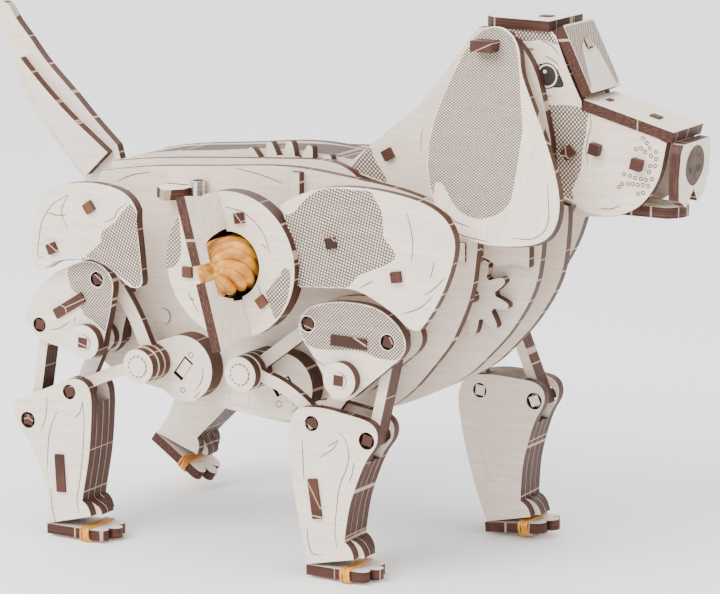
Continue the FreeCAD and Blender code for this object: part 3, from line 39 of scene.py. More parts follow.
# ------------------------------------------------------------------ numbers
# model millimetres are moved by (X0, YS, Z0) into the row frame
X0, YS, Z0 = -20.755, 11.9, 0.75
PATCHES = [
["ear","ear",0,[[89.98,-1.1],[90.52,-0.25],[91.13,0.71],[91.68,1.58],[92.46,2.38],[93.2,3.13],[93.92,3.87],[94.5,4.32],[95.48,4.65],[96.57,5.02],[97.73,5.41],[98.88,5.61],[100.08,5.49],[101.22,5.38],[102.32,5.06],[103.37,4.61],[104.35,4.08],[105.27,3.45],[106.13,2.73],[106.91,1.92],[107.59,1.01],[108.15,0.03],[108.6,-1.04],[109.0,-2.23],[109.42,-3.6],[109.65,-4.4],[109.88,-5.2],[110.11,-6.11],[110.34,-7.01],[110.56,-7.95],[110.78,-8.89],[110.99,-9.82],[111.19,-10.74],[111.38,-11.66],[111.57,-12.57],[111.74,-13.5],[111.91,-14.43],[112.08,-15.34],[112.24,-16.24],[112.4,-17.07],[112.56,-17.9],[112.85,-19.33],[113.12,-20.58],[113.39,-21.84],[113.68,-23.26],[113.86,-24.09],[114.04,-24.92],[114.24,-25.82],[114.45,-26.72],[114.63,-27.64],[114.81,-28.57],[114.93,-29.49],[115.04,-30.41],[115.07,-31.33],[115.1,-32.26],[115.06,-33.2],[115.02,-34.15],[114.96,-35.07],[114.9,-35.98],[114.86,-36.83],[114.82,-37.68],[114.79,-39.15],[114.79,-40.46],[114.78,-41.75],[114.75,-43.12],[114.67,-44.62],[114.58,-46.19],[114.48,-47.77],[114.37,-49.31],[114.31,-50.84],[114.26,-52.38],[114.16,-53.84],[113.95,-55.14],[113.6,-56.27],[113.16,-57.25],[112.63,-58.13],[112.05,-58.93],[111.43,-59.65],[110.77,-60.27],[110.02,-60.83],[109.15,-61.37],[108.11,-61.91],[106.94,-62.43],[105.72,-62.88],[104.54,-63.23],[103.42,-63.47],[102.31,-63.62],[101.22,-63.67],[100.13,-63.63],[99.05,-63.49],[97.97,-63.25],[96.91,-62.94],[95.91,-62.55],[94.95,-62.09],[94.04,-61.55],[93.16,-60.95],[92.34,-60.31],[91.55,-59.6],[90.8,-58.82],[90.1,-58.03],[89.46,-57.27],[88.9,-56.55],[88.4,-55.83],[87.92,-55.15],[87.45,-54.52],[86.95,-53.92],[86.47,-53.37],[85.99,-52.87],[85.53,-52.48],[85.07,-52.2],[84.61,-52.01],[84.18,-51.91],[83.8,-51.9],[83.45,-51.97],[83.14,-52.14],[82.87,-52.39],[82.68,-52.73],[82.58,-53.16],[82.55,-53.7],[82.56,-54.3],[82.57,-54.94],[82.57,-55.66],[82.6,-56.47],[82.73,-57.17],[82.98,-57.64],[83.17,-57.97],[83.3,-58.21],[83.16,-57.95],[82.89,-57.46],[82.55,-56.85],[82.18,-56.17],[81.76,-55.4],[81.27,-54.51],[81.09,-54.14],[80.81,-53.25],[80.56,-52.44],[80.32,-51.67],[80.08,-50.87],[79.8,-49.97],[79.47,-48.93],[79.12,-47.79],[78.91,-47.1],[78.82,-46.05],[78.7,-44.73],[78.58,-43.36],[78.46,-41.96],[78.34,-40.57],[78.22,-39.22],[78.21,-38.53],[78.35,-37.16],[78.51,-35.73],[78.67,-34.2],[78.75,-33.39],[78.84,-32.59],[78.92,-31.78],[79.01,-30.97],[79.17,-29.99],[79.58,-28.49],[79.99,-27.0],[80.39,-25.54],[80.77,-24.17],[81.11,-22.93],[81.43,-21.8],[81.72,-20.86],[82.13,-19.64],[82.6,-18.25],[83.1,-16.78],[83.36,-16.02],[83.62,-15.26],[84.13,-13.77],[84.59,-12.45],[85.19,-10.98],[85.78,-9.54],[86.34,-8.15],[86.9,-6.78],[87.45,-5.43],[87.86,-4.43],[88.45,-3.5],[88.92,-2.78],[89.25,-2.25],[89.57,-1.75]],[],0.84,[58,-50]],
["head","world",-12.5,[[100.78,201.31],[101.21,202.15],[102.03,203.21],[103.03,204.29],[103.98,205.16],[104.83,205.64],[105.7,205.7],[106.63,205.76],[107.61,205.78],[108.84,205.79],[110.21,205.8],[111.59,205.81],[112.86,205.82],[113.98,205.83],[115.02,205.84],[115.99,205.84],[116.8,205.84],[117.6,205.35],[118.36,204.87],[119.07,204.31],[119.73,203.62],[120.5,202.73],[121.33,201.68],[121.98,200.74],[122.18,200.15],[121.8,200.08],[120.98,200.35],[119.96,200.74],[118.97,201.03],[118.02,201.2],[117.0,201.36],[115.97,201.47],[114.94,201.5],[113.94,201.41],[112.93,201.23],[111.93,201.03],[110.92,200.87],[109.91,200.79],[108.9,200.74],[107.89,200.69],[106.88,200.61],[105.82,200.43],[104.73,200.2],[103.71,200.01],[102.83,199.98],[102.06,200.12],[101.36,200.37],[100.88,200.76]],[],1.15,[35,-38]],
["head","world",-12.5,[[110.81,180.07],[111.71,180.38],[112.84,180.01],[114.07,179.39],[115.28,178.93],[116.45,178.69],[117.66,178.47],[118.88,178.29],[120.13,178.19],[121.4,178.23],[122.71,178.36],[124.03,178.51],[125.34,178.58],[126.67,178.57],[128.02,178.52],[129.33,178.42],[130.54,178.23],[131.73,177.99],[132.89,177.68],[133.89,177.27],[134.55,176.72],[134.78,175.98],[134.66,175.09],[134.41,174.1],[134.22,173.06],[134.16,171.95],[134.11,170.75],[134.04,169.52],[133.91,168.3],[133.67,167.09],[133.35,165.86],[133.04,164.65],[132.8,163.47],[132.67,162.34],[132.61,161.24],[132.56,160.16],[132.47,159.06],[132.35,157.94],[132.21,156.82],[132.03,155.7],[131.75,154.61],[131.34,153.52],[130.81,152.45],[130.28,151.4],[129.82,150.41],[129.43,149.48],[129.07,148.6],[128.8,147.78],[128.68,147.01],[128.83,146.31],[129.2,145.68],[129.52,145.08],[129.52,144.51],[129.16,144.04],[128.7,144.16],[128.06,144.33],[127.3,144.53],[126.42,144.76],[125.42,145.03],[124.24,145.33],[123.96,145.41],[123.12,146.18],[122.27,146.93],[121.41,147.67],[120.8,148.21],[120.19,148.74],[119.57,149.28],[118.98,149.8],[118.39,150.31],[117.93,150.72],[117.53,151.42],[117.11,152.12],[116.68,152.85],[116.24,153.59],[115.81,154.32],[115.38,155.04],[114.96,155.76],[114.53,156.48],[113.96,157.46],[113.38,158.43],[112.89,159.26],[112.4,160.08],[111.97,160.81],[111.54,161.54],[111.13,162.23],[110.72,162.93],[110.34,163.69],[110.22,164.61],[110.06,165.59],[109.91,166.57],[109.74,167.59],[109.58,168.6],[109.46,169.62],[109.35,170.64],[109.32,171.63],[109.3,172.62],[109.37,173.67],[109.43,174.72],[109.58,175.82],[109.72,176.92],[109.94,177.87],[110.17,178.82]],[],1.15,[42,-42]],
["neck","world",-16.8,[[37.87,148.99],[38.39,148.85],[39.11,149.13],[40.03,150.2],[40.94,151.26],[41.92,152.31],[42.91,153.33],[43.86,154.29],[44.78,155.33],[45.69,156.42],[46.56,157.24],[47.26,157.58],[47.79,157.16],[48.17,156.22],[48.53,155.04],[48.98,153.95],[49.56,152.98],[50.21,151.98],[50.88,150.98],[51.55,150.02],[52.27,149.13],[53.04,148.29],[53.71,147.42],[54.11,146.47],[54.26,145.31],[54.4,144.66],[54.04,144.76],[53.18,144.98],[51.93,145.31],[51.17,145.51],[50.42,145.7],[49.6,145.92],[48.78,146.13],[47.81,146.39],[46.84,146.64],[46.1,146.83],[45.36,147.03],[44.62,147.22],[43.54,147.5],[42.46,147.78],[41.61,148.01],[40.76,148.23],[39.57,148.54],[38.7,148.77],[38.15,148.91]],[],1.2,[50,-40]],
["hip","world",-56.6,[[-53.52,112.76],[-52.84,113.78],[-52.19,114.35],[-51.54,114.92],[-50.9,115.49],[-50.15,116.08],[-49.41,116.68],[-48.66,117.27],[-47.87,118.04],[-47.09,118.81],[-46.58,120.04],[-46.57,121.1],[-46.58,122.09],[-46.12,123.13],[-45.52,123.67],[-44.93,124.22],[-44.12,124.77],[-43.31,125.32],[-42.46,125.87],[-41.62,126.42],[-40.91,126.96],[-40.21,127.49],[-39.29,128.53],[-38.62,129.53],[-37.95,130.54],[-37.03,131.6],[-36.36,132.26],[-35.69,132.92],[-34.91,133.66],[-34.12,134.4],[-33.32,135.03],[-32.93,134.8],[-32.38,134.15],[-31.6,133.23],[-30.73,132.21],[-30.61,131.79],[-30.53,130.35],[-30.46,128.83],[-30.38,127.35],[-30.31,125.98],[-30.24,124.65],[-30.17,123.24],[-30.12,122.43],[-30.08,121.62],[-29.98,120.6],[-29.88,119.65],[-29.77,118.59],[-29.67,117.54],[-29.55,116.45],[-29.44,115.35],[-29.33,114.3],[-29.22,113.24],[-29.11,112.17],[-29.0,111.1],[-28.89,110.0],[-28.78,108.91],[-28.68,107.98],[-28.8,107.03],[-28.9,106.24],[-29.0,105.46],[-29.15,104.29],[-29.69,104.1],[-30.31,103.87],[-30.82,103.68],[-31.25,103.52],[-31.73,103.34],[-32.29,103.67],[-33.5,104.3],[-34.23,104.69],[-34.97,105.07],[-35.77,105.48],[-36.57,105.9],[-37.37,106.32],[-38.18,106.74],[-38.98,107.16],[-39.77,107.6],[-40.58,108.05],[-41.4,108.51],[-42.24,108.98],[-43.08,109.45],[-43.95,109.94],[-44.81,110.42],[-45.49,110.8],[-46.17,111.18],[-47.15,111.55],[-48.05,111.74],[-48.95,111.92],[-49.85,112.11],[-51.02,112.35],[-52.18,112.59]],[],1.1,[60,-20]],
["shoulder","world",-56.6,[[33.69,136.79],[34.35,136.95],[35.17,137.15],[36.0,137.35],[37.34,137.89],[38.25,138.61],[38.95,139.42],[39.59,140.27],[40.3,141.11],[41.07,141.93],[41.85,142.75],[42.7,143.56],[43.66,144.36],[44.77,145.17],[46.0,145.99],[47.31,146.75],[48.69,147.37],[50.16,147.79],[51.72,148.01],[52.52,148.13],[53.33,148.24],[54.15,148.36],[54.97,148.48],[55.81,148.6],[56.64,148.71],[57.52,148.69],[58.4,148.67],[59.3,148.63],[60.19,148.58],[61.1,148.55],[62.0,148.52],[62.98,148.54],[63.96,148.56],[64.99,148.6],[66.03,148.64],[66.98,148.64],[67.94,148.64],[69.43,148.43],[70.31,147.95],[70.77,147.27],[71.07,146.49],[71.49,145.7],[72.12,144.93],[72.81,144.15],[73.46,143.28],[73.97,142.27],[74.31,141.04],[74.53,139.65],[74.68,138.22],[74.82,136.87],[74.89,135.61],[74.89,134.38],[74.96,133.22],[75.26,132.16],[75.93,131.22],[76.85,130.39],[77.81,129.6],[78.56,128.81],[79.09,127.98],[79.51,127.16],[79.77,126.37],[79.8,125.63],[79.59,124.98],[79.17,124.38],[78.55,123.81],[77.77,123.24],[76.75,122.66],[75.51,122.08],[74.17,121.51],[72.84,120.93],[71.48,120.32],[70.06,119.71],[68.69,119.11],[67.48,118.56],[66.55,118.13],[65.8,117.8],[65.07,117.39],[64.17,116.76],[63.17,115.73],[62.65,115.08],[62.13,114.43],[61.49,113.79],[60.86,113.15],[60.02,112.67],[59.19,112.21],[58.05,112.24],[56.87,112.2],[55.95,112.13],[55.04,112.06],[54.13,112.0],[53.18,111.93],[52.23,111.85],[51.28,111.78],[50.42,111.72],[49.55,111.65],[48.69,111.59],[47.51,111.51],[46.33,111.42],[45.19,111.34],[44.06,111.27],[43.02,111.19],[41.99,111.12],[41.17,111.1],[40.29,111.11],[38.84,111.13],[38.54,111.15],[38.12,111.94],[37.59,112.93],[37.51,113.69],[37.47,114.7],[37.44,115.71],[37.4,116.76],[37.37,117.8],[37.33,118.69],[37.3,119.58],[37.26,120.91],[37.22,122.0],[37.08,123.25],[36.87,124.25],[36.64,125.34],[36.41,126.44],[36.18,127.53],[35.96,128.57],[35.75,129.56],[35.55,130.52],[35.25,131.6],[34.97,132.57],[34.66,133.63],[34.33,134.75],[34.04,135.76]],[],1.12,[75,-12]],
["rocker_f","rocker_front_right",-52,[[37.46,96.25],[38.01,97.31],[38.63,98.5],[39.29,99.77],[40.15,100.56],[41.43,101.44],[42.13,101.92],[42.83,102.41],[43.35,102.63],[44.16,102.91],[44.98,103.2],[45.81,103.49],[46.65,103.79],[47.5,104.09],[48.38,104.4],[48.98,104.57],[49.91,104.72],[50.85,104.87],[51.77,105.01],[52.68,105.15],[53.58,105.29],[54.48,105.43],[55.15,105.47],[56.05,105.5],[56.94,105.53],[57.84,105.55],[58.71,105.58],[59.59,105.6],[60.44,105.62],[61.29,105.65],[61.81,105.64],[62.64,105.53],[63.47,105.42],[64.3,105.32],[65.13,105.21],[65.97,105.1],[66.84,104.99],[67.7,104.87],[68.59,104.76],[69.25,104.67],[69.91,104.36],[70.72,104.0],[71.49,103.65],[72.26,103.3],[73.71,102.65],[74.79,102.03],[75.99,101.1],[77.16,100.2],[78.11,99.46],[78.98,98.26],[79.83,97.09],[80.63,95.97],[80.84,95.12],[81.14,93.78],[81.43,92.5],[81.61,91.68],[81.27,91.02],[80.8,89.89],[80.34,88.8],[79.9,88.11],[79.12,87.31],[78.15,86.7],[76.83,86.47],[75.44,86.33],[73.92,86.29],[73.1,86.34],[72.27,86.38],[71.46,86.46],[70.65,86.54],[69.2,86.76],[68.06,87.07],[67.12,87.48],[66.17,87.88],[65.03,88.16],[63.65,88.29],[62.15,88.34],[61.33,88.32],[60.51,88.3],[59.63,88.26],[58.74,88.22],[57.74,88.13],[56.74,88.03],[55.64,87.89],[54.54,87.76],[53.44,87.62],[52.33,87.48],[51.33,87.39],[50.32,87.29],[49.44,87.24],[48.55,87.2],[47.73,87.17],[46.91,87.15],[45.39,87.19],[43.97,87.35],[42.62,87.62],[41.37,88.0],[40.4,88.61],[39.78,89.46],[39.16,90.31],[38.52,91.17],[38.32,91.85],[38.15,92.82],[37.98,93.73],[37.82,94.61],[37.65,95.52]],[[40.84,96.03,3.3],[74.28,92.73,3.3]],0.95,[50,-45]],
["rocker_r","rocker_rear_right",-52,[[-64.93,105.9],[-64.71,106.73],[-64.23,107.16],[-63.53,107.46],[-62.63,107.86],[-61.44,108.37],[-60.03,108.99],[-59.38,109.17],[-58.55,109.32],[-56.98,109.61],[-55.49,109.88],[-54.17,109.77],[-52.73,109.53],[-51.33,109.3],[-50.49,108.96],[-49.37,108.27],[-48.25,107.58],[-47.18,106.92],[-46.99,106.68],[-46.36,105.56],[-45.71,104.41],[-45.08,103.27],[-44.92,102.89],[-45.02,101.44],[-45.11,99.93],[-45.21,98.43],[-45.31,96.93],[-45.55,95.57],[-45.83,94.05],[-46.11,92.56],[-46.39,91.06],[-46.73,89.62],[-47.07,88.22],[-47.37,86.98],[-47.64,85.86],[-47.92,84.87],[-48.15,84.07],[-48.81,83.8],[-49.7,84.17],[-50.7,85.01],[-51.78,86.02],[-52.87,86.88],[-54.03,87.47],[-55.25,87.97],[-56.42,88.49],[-57.41,89.13],[-58.18,89.94],[-58.81,90.86],[-59.3,91.83],[-59.64,92.8],[-59.7,93.81],[-59.52,94.88],[-59.39,95.88],[-59.58,96.7],[-60.28,97.21],[-61.31,97.5],[-62.38,97.79],[-63.22,98.28],[-63.73,99.07],[-64.08,100.02],[-64.32,101.05],[-64.53,102.05],[-64.75,103.02],[-64.93,104.03],[-65.01,105.0]],[[-51.83,103.54,3.3]],0.95,[55,-40]],
["wheel","winder",-60,[[-15.02,113.76],[-15.11,114.37],[-15.15,115.28],[-15.2,116.45],[-15.18,117.47],[-15.12,118.85],[-15.06,119.44],[-14.96,120.22],[-14.86,121.02],[-14.75,121.7],[-14.57,122.48],[-14.4,123.26],[-14.0,124.68],[-13.53,126.14],[-12.94,127.56],[-12.36,128.83],[-11.66,130.16],[-10.87,131.44],[-10.23,132.43],[-9.88,132.89],[-9.71,132.43],[-9.5,131.15],[-9.43,130.33],[-9.36,129.51],[-9.3,128.67],[-9.23,127.83],[-9.15,126.94],[-9.06,126.05],[-8.99,125.05],[-8.91,124.04],[-8.86,123.05],[-8.82,122.05],[-8.84,121.18],[-8.86,120.32],[-9.02,118.9],[-9.29,117.68],[-9.68,116.61],[-10.21,115.65],[-10.94,114.78],[-11.82,114.03],[-12.79,113.43],[-13.75,113.03],[-14.81,112.82],[-14.96,113.24]],[],1.1,[45,-45]],
["wheel","winder",-60,[[27.82,107.75],[28.06,108.35],[28.49,108.94],[29.02,109.54],[29.54,110.17],[30.04,110.87],[30.58,111.6],[31.13,112.33],[31.67,113.0],[32.21,113.55],[32.76,114.04],[33.3,114.52],[33.8,115.07],[34.24,115.81],[34.62,116.67],[35.03,117.42],[35.5,117.85],[36.14,117.9],[36.88,117.7],[37.56,117.27],[38.04,116.61],[38.25,115.67],[38.27,114.47],[38.18,113.13],[38.03,111.77],[37.82,110.38],[37.53,108.9],[37.16,107.43],[36.75,106.05],[36.29,104.76],[35.75,103.55],[35.1,102.46],[34.46,101.44],[33.74,100.45],[32.96,99.44],[32.29,98.68],[31.88,98.24],[31.48,98.65],[30.92,99.83],[30.4,101.2],[29.94,102.35],[29.55,103.17],[29.23,103.89],[28.94,104.56],[28.67,105.22],[28.37,105.88],[28.06,106.51],[27.84,107.13]],[],1.1,[45,-45]]]
LINES = [
["shank_f","lower_leg_front_right",-52,[[38.42,51.83],[38.5,50.47],[38.61,48.51],[38.73,46.32],[38.85,44.25],[38.96,42.17],[39.09,39.97],[39.2,38.01],[39.27,36.64]],0.34],
["shank_f","lower_leg_front_right",-52,[[54.18,56.43],[54.66,56.08],[55.35,55.6],[56.09,54.95],[56.73,54.09],[57.28,52.95],[57.81,51.57],[58.23,50.09],[58.43,48.62],[58.35,47.19],[58.07,45.73],[57.65,44.25],[57.18,42.76],[56.6,41.31],[55.91,39.87],[55.22,38.37],[54.65,36.73],[54.23,34.95],[53.91,33.06],[53.64,31.05],[53.39,28.93],[53.11,26.57],[52.84,24.02],[52.63,21.51],[52.55,19.25],[52.67,17.19],[52.93,15.25],[53.22,13.61],[53.42,12.46]],0.34],
["shank_f","lower_leg_front_right",-52,[[46.12,46.31],[47.19,46.98],[48.75,47.95],[50.38,49.03],[51.65,50.05],[52.47,51.06],[53.05,52.12],[53.46,53.07],[53.76,53.72]],0.34],
["shank_f","lower_leg_front_right",-52,[[49.1,50.49],[49.96,51.06],[51.22,51.89],[52.48,52.72],[53.34,53.29]],0.34],
["shank_f","lower_leg_front_right",-52,[[60.55,46.23],[60.41,45.27],[60.21,43.89],[59.98,42.41],[59.72,41.19],[59.4,40.26],[59.04,39.46],[58.69,38.82],[58.46,38.37]],0.34],
["shank_f","lower_leg_front_right",-52,[[40.56,19.14],[40.6,18.17],[40.67,16.77],[40.78,15.23],[40.99,13.81],[41.27,12.46],[41.61,11.09],[42.07,9.89],[42.71,9.03],[43.7,8.66],[44.96,8.65],[46.17,8.78],[47.01,8.86]],0.34],
["shank_r","lower_leg_rear_right",-52,[[-75.54,54.86],[-75.6,53.56],[-75.68,51.7],[-75.84,49.61],[-76.14,47.64],[-76.68,45.7],[-77.41,43.66],[-78.12,41.84],[-78.61,40.58]],0.34],
["shank_r","lower_leg_rear_right",-52,[[-70.98,49.45],[-71.65,48.11],[-72.61,46.18],[-73.61,44.0],[-74.38,41.89],[-74.82,39.9],[-75.09,37.87],[-75.28,35.82],[-75.46,33.78],[-75.66,31.58],[-75.83,29.24],[-75.98,27.16],[-76.08,25.71]],0.34],
["shank_r","lower_leg_rear_right",-52,[[-59.31,55.58],[-59.13,54.27],[-58.87,52.43],[-58.63,50.2],[-58.51,47.78],[-58.55,45.09],[-58.69,42.07],[-58.9,38.92],[-59.16,35.82],[-59.49,32.71],[-59.9,29.52],[-60.33,26.45],[-60.74,23.69],[-61.18,21.3],[-61.66,19.16],[-62.05,17.25],[-62.27,15.52],[-62.2,13.91],[-61.94,12.46],[-61.63,11.27],[-61.42,10.43]],0.34],
["shank_r","lower_leg_rear_right",-52,[[-62.66,48.07],[-62.22,48.51],[-61.58,49.14],[-60.89,49.9],[-60.31,50.72],[-59.85,51.75],[-59.44,52.95],[-59.1,54.07],[-58.86,54.84]],0.34],
["shank_r","lower_leg_rear_right",-52,[[-74.33,18.73],[-74.3,17.51],[-74.27,15.75],[-74.18,13.8],[-73.98,11.96],[-73.63,10.14],[-73.14,8.23],[-72.64,6.53],[-72.23,5.36],[-71.91,4.92],[-71.65,5.01],[-71.44,5.31],[-71.29,5.49]],0.34],
["rocker_rl","rocker_rear_right",-52,[[-73.66,81.53],[-72.82,81.72],[-71.62,81.97],[-70.28,82.33],[-69.01,82.82],[-67.73,83.56],[-66.38,84.52],[-65.18,85.43],[-64.34,86.06]],0.34],
["rocker_rl","rocker_rear_right",-52,[[-62.01,87.87],[-62.11,87.38],[-62.26,86.67],[-62.41,85.95],[-62.51,85.47]],0.34],
["rocker_fl","rocker_front_right",-52,[[40.57,86.22],[41.26,85.58],[42.24,84.66],[43.35,83.68],[44.4,82.87],[45.44,82.26],[46.54,81.75],[47.53,81.33],[48.21,81.04]],0.34],
["shoulder","world",-56.6,[[84.6,142.13],[84.92,141.03],[85.38,139.45],[85.87,137.7],[86.27,136.1],[86.58,134.73],[86.85,133.42],[87.04,132.11],[87.12,130.71],[87.02,129.06],[86.79,127.24],[86.53,125.59],[86.35,124.44]],0.34],
["shoulder","world",-56.6,[[65.43,112.82],[65.96,113.16],[66.72,113.64],[67.56,114.16],[68.32,114.59],[69.03,114.91],[69.74,115.19],[70.37,115.41],[70.8,115.57]],0.34],
["shoulder","world",-56.6,[[95.68,125.34],[95.54,124.64],[95.34,123.63],[95.12,122.54],[94.9,121.63],[94.69,120.9],[94.46,120.26],[94.25,119.73],[94.11,119.36]],0.34],
["shoulder","world",-56.6,[[92.13,112.95],[92.86,113.46],[93.9,114.18],[95.06,115.03],[96.17,115.92],[97.26,116.95],[98.42,118.12],[99.46,119.21],[100.18,119.96]],0.34],
["shoulder","world",-56.6,[[82.79,105.02],[84.16,105.5],[86.14,106.19],[88.27,107.03],[90.13,107.98],[91.71,109.19],[93.22,110.64],[94.49,111.98],[95.38,112.92]],0.34],
["hip","world",-56.6,[[-61.32,135.96],[-62.71,135.21],[-64.71,134.15],[-66.87,132.87],[-68.7,131.46],[-70.14,129.89],[-71.42,128.13],[-72.52,126.29],[-73.41,124.47],[-74.04,122.67],[-74.43,120.85],[-74.69,119.05],[-74.93,117.36],[-75.22,115.68],[-75.48,114.01],[-75.62,112.54],[-75.5,111.48],[-74.98,110.96],[-74.16,110.85],[-73.32,110.93],[-72.75,110.97]],0.34],
["hip","world",-56.6,[[-61.32,135.57],[-61.79,134.92],[-62.46,133.98],[-63.15,132.93],[-63.66,131.91],[-64.0,130.97],[-64.24,130.03],[-64.32,129.05],[-64.19,128.01],[-63.69,126.77],[-62.89,125.38],[-62.08,124.12],[-61.53,123.24]],0.34],
["hip","world",-56.6,[[-34.75,135.23],[-35.53,134.69],[-36.66,133.92],[-37.85,133.04],[-38.81,132.2],[-39.37,131.38],[-39.72,130.52],[-40.08,129.7],[-40.64,128.98],[-41.6,128.37],[-42.79,127.83],[-43.93,127.4],[-44.71,127.09]],0.34],
["hip","world",-56.6,[[-70.58,128.59],[-69.95,128.42],[-69.04,128.15],[-68.0,127.9],[-66.93,127.76],[-65.75,127.79],[-64.42,127.92],[-63.2,128.07],[-62.36,128.18]],0.34],
["hip","world",-56.6,[[-71.9,106.77],[-70.84,107.41],[-69.34,108.33],[-67.5,109.31],[-65.41,110.12],[-62.73,110.73],[-59.52,111.25],[-56.51,111.66],[-54.43,111.95]],0.34],
["wheel","winder",-60,[[10.38,138.23],[11.54,138.13],[13.2,137.99],[15.06,137.75],[16.82,137.32],[18.47,136.66],[20.15,135.82],[21.77,134.86],[23.21,133.8],[24.48,132.64],[25.6,131.37],[26.6,130.01],[27.46,128.61],[28.18,127.0],[28.78,125.22],[29.24,123.61],[29.57,122.48]],0.34],
["wheel","winder",-60,[[26.17,126.26],[26.52,125.84],[27.02,125.22],[27.53,124.61],[27.87,124.18]],0.34],
["wheel","winder",-60,[[-5.93,104.71],[-5.05,103.25],[-3.77,101.13],[-2.48,99.01],[-1.61,97.56]],0.34],
["wheel","winder",-60,[[-5.51,102.47],[-4.97,102.37],[-4.19,102.23],[-3.42,102.08],[-2.88,101.98]],0.34],
["wheel","winder",-60,[[-0.7,102.21],[-0.35,101.18],[0.13,99.69],[0.74,98.09],[1.44,96.74],[2.39,95.67],[3.53,94.71],[4.6,93.92],[5.34,93.36]],0.34],
["wheel","winder",-60,[[3.18,95.79],[3.7,95.31],[4.43,94.62],[5.29,93.92],[6.21,93.45],[7.31,93.31],[8.57,93.35],[9.74,93.47],[10.56,93.54]],0.34],
["wheel","winder",-60,[[24.41,110.4],[24.72,109.56],[25.15,108.35],[25.64,107.08],[26.11,106.08],[26.57,105.43],[27.07,104.96],[27.51,104.62],[27.81,104.38]],0.34],
["panel","world",-30.6,[[-55.74,138.01],[-54.62,138.55],[-53.03,139.33],[-51.19,140.17],[-49.31,140.89],[-47.19,141.47],[-44.81,141.99],[-42.62,142.43],[-41.11,142.74]],0.34],
["panel","world",-30.6,[[-2.7,147.48],[-1.16,147.26],[1.05,146.96],[3.48,146.61],[5.63,146.27],[7.41,145.95],[9.06,145.63],[10.63,145.29],[12.16,144.92],[13.77,144.46],[15.39,143.94],[16.81,143.46],[17.81,143.13]],0.34],
["crank_r","rear_crank",-39.1,[[-12.57,71.31],[-12.61,70.37],[-12.64,69.01],[-12.77,67.53],[-13.06,66.19],[-13.64,64.97],[-14.45,63.76],[-15.23,62.71],[-15.77,61.97]],0.34],
["crank_r","rear_crank",-39.1,[[-13.99,61.4],[-14.54,60.86],[-15.34,60.07],[-16.15,59.28],[-16.7,58.74]],0.34],
["crank_f","front_crank",-39.1,[[28.76,63.29],[28.4,62.78],[27.89,62.04],[27.37,61.29],[27.02,60.78]],0.34],
["crank_f","front_crank",-39.1,[[29.62,61.09],[29.0,60.47],[28.1,59.56],[27.2,58.65],[26.58,58.03]],0.34],
["ear","ear",0,[[88.08,-62.15],[88.85,-62.77],[89.95,-63.67],[91.25,-64.63],[92.62,-65.4],[94.23,-65.96],[96.07,-66.41],[97.78,-66.76],[98.96,-67.01]],0.34],
["ear","ear",0,[[90.99,-68.47],[92.09,-68.85],[93.65,-69.39],[95.48,-69.97],[97.39,-70.44],[99.6,-70.78],[102.13,-71.07],[104.45,-71.3],[106.06,-71.46]],0.34],
["ear","ear",0,[[116.28,-69.42],[117.62,-69.43],[119.57,-69.45],[121.66,-69.39],[123.45,-69.12],[124.9,-68.61],[126.21,-67.92],[127.34,-67.09],[128.24,-66.15],[128.86,-65.08],[129.25,-63.88],[129.47,-62.6],[129.58,-61.35],[129.58,-60.16],[129.42,-59.0],[129.18,-57.76],[128.92,-56.36],[128.6,-54.57],[128.2,-52.51],[127.83,-50.6],[127.57,-49.27]],0.34],
["ear","ear",0,[[74.99,-32.77],[74.93,-33.57],[74.84,-34.72],[74.77,-36.0],[74.77,-37.21],[74.87,-38.41],[75.05,-39.67],[75.24,-40.79],[75.37,-41.58]],0.34],
["head","world",-12.5,[[135.36,176.41],[135.48,175.65],[135.66,174.55],[135.81,173.31],[135.83,172.09],[135.66,170.91],[135.35,169.69],[135.01,168.46],[134.72,167.27],[134.48,166.15],[134.24,165.07],[134.06,163.98],[134.01,162.84],[134.14,161.5],[134.4,160.04],[134.7,158.72],[134.89,157.8]],0.34],
["head","world",-12.5,[[139.97,142.13],[140.68,142.09],[141.71,142.03],[142.86,142.02],[143.95,142.11],[145.03,142.41],[146.16,142.84],[147.18,143.27],[147.89,143.56]],0.34],
["head","world",-12.5,[[107.73,198.12],[108.71,198.11],[110.15,198.09],[111.59,198.08],[112.57,198.07]],0.34],
["head","world",-12.5,[[107.77,194.84],[108.38,195.31],[109.27,195.99],[110.21,196.69],[110.97,197.24],[111.52,197.58],[111.97,197.8],[112.32,197.96],[112.57,198.07]],0.34],
["head","world",-12.5,[[111.19,181.92],[111.89,181.75],[112.89,181.5],[114.05,181.26],[115.25,181.12],[116.59,181.14],[118.11,181.26],[119.51,181.4],[120.48,181.5]],0.34],
["head","world",-12.5,[[115.34,201.52],[116.18,201.22],[117.39,200.79],[118.69,200.26],[119.79,199.63],[120.68,198.8],[121.5,197.8],[122.17,196.85],[122.65,196.2]],0.34],
["head","world",-12.5,[[117.04,195.82],[117.64,195.62],[118.5,195.33],[119.44,194.98],[120.27,194.59],[120.99,194.09],[121.69,193.5],[122.29,192.95],[122.71,192.57]],0.34],
# neck line: painted shade, a thick dark ribbon standing for the shadowed gap along the neck, drawn with the engraving
# ink
["neck","world",-16.8,[[39.18,146.72],[40.53,146.26],[42.45,145.6],[44.77,144.82],[47.32,144.0],[50.18,143.14],[53.41,142.19],[56.78,141.2],[60.08,140.2],[63.54,139.09],[67.2,137.89],[70.46,136.81],[72.73,136.05]],0.9]]
